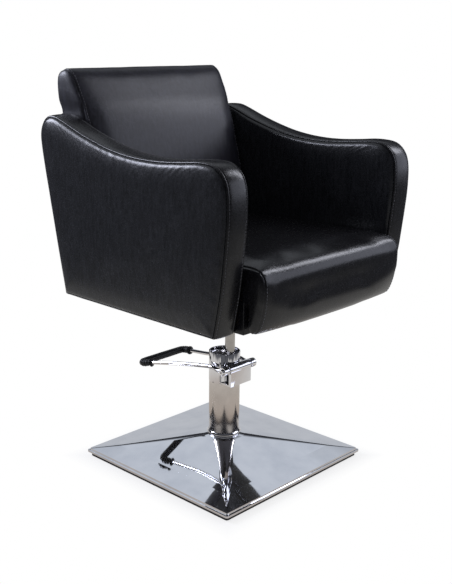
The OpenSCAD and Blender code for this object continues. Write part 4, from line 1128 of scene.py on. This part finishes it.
def base_cover():
    low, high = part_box("base_cover")
    ring_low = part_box("foot_ring")[0].z
    tube_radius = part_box("pump_tube")[1].x
    fold_half = high.x - RIM_PROFILE[-1][0] * MM
    fold_z = low.z - RIM_PROFILE[-1][1] * MM
    hole = tube_radius + 2 * MM
    top_z = min(high.z, ring_low - 0.05 * MM)
    fold, top = cover_square(fold_half, fold_z), cover_circle(hole, top_z)
    shares = [math.sin(math.pi / 2 * k / COVER_SLOPE_STEPS) ** 1.3 for k in range(1, COVER_SLOPE_STEPS)]
    slope = [fold + (top - fold) * share + (0, 0, dish(share)) for share in shares]
    rim = [cover_square(fold_half + out * MM, fold_z + down * MM) for out, down in RIM_PROFILE]
    under = Vector((0, 0, -COVER_SHEET))
    inner_fold = cover_square(fold_half - COVER_SHEET, fold_z - COVER_SHEET)
    inner_rim = [cover_square(fold_half + out * MM - COVER_SHEET, fold_z + down * MM - COVER_SHEET / 2)
                 for out, down in RIM_PROFILE[1:-1]]
    lip = cover_square(fold_half + RIM_PROFILE[-1][0] * MM - COVER_SHEET, low.z)
    rings = [top] + slope[::-1] + rim + [lip] + inner_rim[::-1] + [inner_fold, top + np.array(under)]
    piece = skin("base_cover_sheet", rings, looped=True, smooth_angle=40)
    dress(piece, "base_cover")


base_cover()


# Pedal: one bent bar with a rubber sleeve over its crossbar
PEDAL_SHARES = [
    (0, 0, 0), (0, 0.05, 0.01), (0, 0.12, -0.06), (0, 0.27, 0.10), (0.18, 0.56, 0.46),
    (0.72, 0.865, 0.84), (0.95, 0.94, 0.95), (0.90, 0.985, 1.0), (0.55, 1.0, 1.0),
]
PEDAL_NECK_SHARE = 0.649
BAR_RADIUS = 5 * MM
BAR_STEPS = 12
SLEEVE_FROM = 5
SLEEVE_WALL = 4 * MM
# The sleeve's relief in mm: its belly's rise and width, the ribs' pitch, and the rise, place from its end
# and width of its rounded end, its lip, the neck behind it and its ribs
SLEEVE_BELLY = (0.5, 60)
RIB_PITCH = 6.5
SLEEVE_FORMS = [(-0.8, 0, 0.8), (2.6, 2.2, 1.7), (-1.3, 8, 3.5), (0.7, 26, 12)]


def pedal_route():
    """The bar's middle line, from the far eye round the crossbar to the near one."""
    half = [(PEDAL_NECK_SHARE + s[0] * (1 - PEDAL_NECK_SHARE), s[1], -s[2]) for s in PEDAL_SHARES]
    half.append((PEDAL_NECK_SHARE / 2, 1.0, -1.0))
    route = [(-x, y, z) for x, y, z in half] + half[::-1]
    low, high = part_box("pedal_bar")
    return fitted(spline(route, BAR_STEPS), (low.x + BAR_RADIUS, low.y, low.z + BAR_RADIUS),
                  (high.x - BAR_RADIUS, high.y - BAR_RADIUS, high.z - BAR_RADIUS))


def round_route(route, radii, sides):
    """Rings round a route, each with its own radius."""
    ahead = np.gradient(route, axis=0)
    ahead /= np.linalg.norm(ahead, axis=1)[:, None]
    side = np.cross(ahead, (0, 0, 1))
    side /= np.linalg.norm(side, axis=1)[:, None]
    up = np.cross(side, ahead)
    turns = np.linspace(0, 2 * math.pi, sides, endpoint=False)
    return [p + r * (np.outer(np.cos(turns), s) + np.outer(np.sin(turns), u))
            for p, r, s, u in zip(route, radii, side, up)]


def pedal():
    route = pedal_route()
    bar = skin("pedal_bar_bent", round_route(route, [BAR_RADIUS] * len(route), 28), smooth_angle=50)
    dress(bar, "pedal_bar")
    held = route[SLEEVE_FROM * BAR_STEPS:len(route) - SLEEVE_FROM * BAR_STEPS]
    fine = spline(held, 3)
    run = np.concatenate([[0], np.cumsum(np.linalg.norm(np.diff(fine, axis=0), axis=1))]) / MM
    whole = run[-1]
    radii = []
    for place in run:
        from_end = min(place, whole - place)
        forms = [rise * math.exp(-((from_end - at) / width) ** 2) for rise, at, width in SLEEVE_FORMS]
        belly = SLEEVE_BELLY[0] * math.exp(-((place - whole / 2) / SLEEVE_BELLY[1]) ** 2)
        ribs = math.sin(from_end * 2 * math.pi / RIB_PITCH) * forms.pop()
        radii.append(BAR_RADIUS + (SLEEVE_WALL / MM + belly + ribs + sum(forms)) * MM)
    outer = round_route(fine, radii, 32)
    inner = round_route(fine, [BAR_RADIUS + 0.08 * MM] * len(fine), 32)
    sleeve = skin("pedal_sleeve_moulded", outer + inner[::-1], looped=True, smooth_angle=60)
    dress(sleeve, "pedal_sleeve")


pedal()


# Castings and turned parts with their sharp edges broken
def broken_edges(node, width_mm, angle=35):
    """A copy of a CAD node, welded and with rounded edges, that stands for it."""
    mesh = frame["nodes"][node].data.copy()
    with opened(mesh) as shell:
        bmesh.ops.remove_doubles(shell, verts=shell.verts, dist=0.002 * MM)
        bmesh.ops.dissolve_limit(shell, angle_limit=math.radians(0.5), verts=shell.verts, edges=shell.edges)
    smooth(mesh)
    piece = placed(node + "_finished", mesh)
    rounded = piece.modifiers.new("edges", "BEVEL")
    rounded.width = width_mm * MM
    rounded.segments = 3
    rounded.limit_method = "ANGLE"
    rounded.angle_limit = math.radians(angle)
    rounded.harden_normals = True
    baked(piece)
    dress(piece, node)
    return piece


GUARD_PLATE = 6.5 * MM


def pump_head():
    """The casting is plated outside; the faces in the slot behind its guard plate are drawn black, as painted
    shade for the dark recess.
    """
    piece = broken_edges("pump_head", 0.8)
    low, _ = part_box("pump_head")
    shaft_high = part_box("lever_shaft")[1]
    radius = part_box("pump_tube")[1].x
    # Faces in the slot behind the guard plate take the black painted shade
    piece.data.materials.append(PUMP_SLOT_PAINTED_SHADE)
    for face in piece.data.polygons:
        at = face.center
        behind_guard = low.y + GUARD_PLATE < at.y < shaft_high.y
        outside = math.hypot(at.x, at.y) > radius - 1 * MM or abs(face.normal.z) > 0.7
        if behind_guard and at.z < shaft_high.z and outside and abs(face.normal.x) < 0.7:
            face.material_index = 1


pump_head()
for turned, edge_width in {
    "head_lid": 0.3, "pedal_eyes": 0.8, "foot_ring": 0.4, "lever_shaft": 0.3, "wiper_seal": 0.4,
}.items():
    broken_edges(turned, edge_width)


# Pump spring: a smooth coil of round wire
SPRING_WIRE = 0.8 * MM
SPRING_TURNS = 6
SPRING_STEPS = 28


def plunger_spring():
    low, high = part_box("plunger_spring")
    centre = (low + high) / 2
    radius = (high.x - low.x) / 2 - SPRING_WIRE
    count = SPRING_TURNS * SPRING_STEPS
    turn = np.linspace(0, 2 * math.pi * SPRING_TURNS, count + 1)
    route = np.column_stack([
        centre.x + radius * np.cos(turn), centre.y + radius * np.sin(turn),
        np.linspace(low.z + SPRING_WIRE, high.z - SPRING_WIRE, count + 1)])
    piece = skin("plunger_spring_coil", round_route(route, [SPRING_WIRE] * len(route), 12))
    dress(piece, "plunger_spring")


plunger_spring()


# Floor, world and lamps
FLOOR_SIZE = 14.0
FLOOR_DEPTH = 0.5 * MM
# Painted reflections of the floor, a glow that only mirrors see: painted shade under the chair, a pale ring
# around it, and dark far off in the studio, with the distances from the chair's axis between which one passes
# into the next
FLOOR_PAINTED_SHADE = "#b5aca5"
FLOOR_LIGHT = "#cfcdca"
FLOOR_FAR = "#5a5b60"
SHADE_EDGE = (0.30, 0.62)
FAR_EDGE = (1.3, 2.2)
# What mirrors show above the floor: dark walls, then pale ceiling screens over the half of the studio
# behind the chair, with the heights and the rear parts of a direction between which they pass over
WALLS = "#2e2f34"
CEILING = "#cbd0d8"
OPEN_CEILING = "#4c4d54"
WALL_EDGE = (0.50, 0.61)
SCREEN_EDGE = (0.10, 0.30)
# The shadow that the camera sees on the white floor: from the base's edge outwards, and its share
SHADOW_EDGE = (0.252, 0.30)
SHADOW_SHARE = 0.25
WHITE = (1.0, 1.0, 1.0, 1.0)
WORLD_LIGHT = "#f2f2f6"
WORLD_STRENGTH = 0.55


def ray_kinds(tree):
    """One for rays that have met a mirror or glass, and one for the camera's own, else nought."""
    ray = add(tree, "ShaderNodeLightPath").outputs
    both = add(tree, "ShaderNodeMath", {0: ray["Is Glossy Ray"], 1: ray["Is Transmission Ray"]},
               operation="ADD", use_clamp=True)
    return both, ray["Is Camera Ray"]


def passing(tree, value, edge, before, after):
    """A colour that passes into another as a value crosses an edge, given by its two ends."""
    share = add(tree, "ShaderNodeMapRange", {"Value": value, "From Min": edge[0], "From Max": edge[1]})
    mixed = add(tree, "ShaderNodeMix", {
        MIX_SHARE: share, MIX_FIRST: before, MIX_SECOND: after}, data_type="RGBA")
    return mixed.outputs[MIX_RESULT]


def studio_floor():
    corners = [(x * FLOOR_SIZE, y * FLOOR_SIZE, -FLOOR_DEPTH)
               for x, y in ((-1, -1), (1, -1), (1, 1), (-1, 1))]
    floor = mesh_piece("studio_floor", corners, [(0, 1, 2, 3)])
    made = bpy.data.materials.new("studio_floor")
    tree = bare_tree(made)
    place = add(tree, "ShaderNodeTexCoord").outputs["Object"]
    radius = add(tree, "ShaderNodeVectorMath", {0: place}, operation="LENGTH").outputs["Value"]
    folded = add(tree, "ShaderNodeVectorMath", {0: place}, operation="ABSOLUTE")
    parts = add(tree, "ShaderNodeSeparateXYZ", {0: folded}).outputs
    square = add(tree, "ShaderNodeMath", {0: parts["X"], 1: parts["Y"]}, operation="MAXIMUM")
    near = add(tree, "ShaderNodeMapRange", {
        "Value": square, "From Min": SHADOW_EDGE[0], "From Max": SHADOW_EDGE[1], "To Min": SHADOW_SHARE,
        "To Max": 0.0})
    mirror, camera_ray = ray_kinds(tree)
    matt = add(tree, "ShaderNodeBsdfDiffuse", {"Color": linear("#f4f4f5")})
    white = add(tree, "ShaderNodeEmission", {"Color": WHITE, "Strength": 1.0})
    lit = passing(tree, radius, SHADE_EDGE, linear(FLOOR_PAINTED_SHADE), linear(FLOOR_LIGHT))
    far = passing(tree, radius, FAR_EDGE, lit, linear(FLOOR_FAR))
    # The floor's glow for mirrors: painted reflection, with painted shade under the chair
    sheen = add(tree, "ShaderNodeEmission", {"Color": far, "Strength": 1.0})
    seen = add(tree, "ShaderNodeMixShader", {0: near, 1: white, 2: matt})
    camera = add(tree, "ShaderNodeMixShader", {0: camera_ray, 1: matt, 2: seen})
    shown = add(tree, "ShaderNodeMixShader", {0: mirror, 1: camera, 2: sheen})
    add(tree, "ShaderNodeOutputMaterial", {"Surface": shown})
    floor.data.materials.append(made)


def studio_world():
    world = bpy.data.worlds.new("studio")
    scene.world = world
    tree = bare_tree(world)
    direction = add(tree, "ShaderNodeTexCoord").outputs["Generated"]
    way = add(tree, "ShaderNodeSeparateXYZ", {0: direction}).outputs
    overhead = passing(tree, way["Y"], SCREEN_EDGE, linear(OPEN_CEILING), linear(CEILING))
    around = passing(tree, way["Z"], WALL_EDGE, linear(WALLS), overhead)
    mirror, camera_ray = ray_kinds(tree)
    plain, reflected, white = [
        add(tree, "ShaderNodeBackground", {"Color": colour, "Strength": strength})
        for colour, strength in ((linear(WORLD_LIGHT), WORLD_STRENGTH), (around, 1.0), (WHITE, 1.0))]
    lit = add(tree, "ShaderNodeMixShader", {0: mirror, 1: plain, 2: reflected})
    shown = add(tree, "ShaderNodeMixShader", {0: camera_ray, 1: lit, 2: white})
    add(tree, "ShaderNodeOutputWorld", {"Surface": shown})


def softbox(name, place, target, size, radiance, colour):
    """A rectangular lamp of an even radiance that the camera doesn't see."""
    data = bpy.data.lights.new(name, "AREA")
    data.shape = "RECTANGLE"
    data.size, data.size_y = size
    data.energy = radiance * math.pi * size[0] * size[1]
    data.color = linear(colour)[:3]
    lamp = placed(name, data)
    lamp.location = place
    lamp.rotation_euler = (Vector(target) - Vector(place)).to_track_quat("-Z", "Y").to_euler()
    lamp.visible_camera = False


studio_floor()
studio_world()
# Name, place, what it points at, width and height in metres, radiance and colour
for lamp in (
    ("rear_left_box", (-1.35, 1.82, 1.65), (-0.3, 0.2, 0.85), (0.9, 0.9), 19.0, "#e9edff"),
    ("side_top_box", (1.40, -0.70, 1.94), (0, -0.3, 0.58), (0.5, 0.95), 8.0, "#f1f3ff"),
    ("front_right_box", (1.75, -1.60, 1.25), (0, 0.2, 0.8), (2.0, 1.4), 1.8, "#e9edff"),
    ("low_rear_screen", (0.74, 0.74, 0.28), (0, 0, 0.28), (1.9, 0.54), 0.60, "#eef1f6"),
):
    softbox(*lamp)
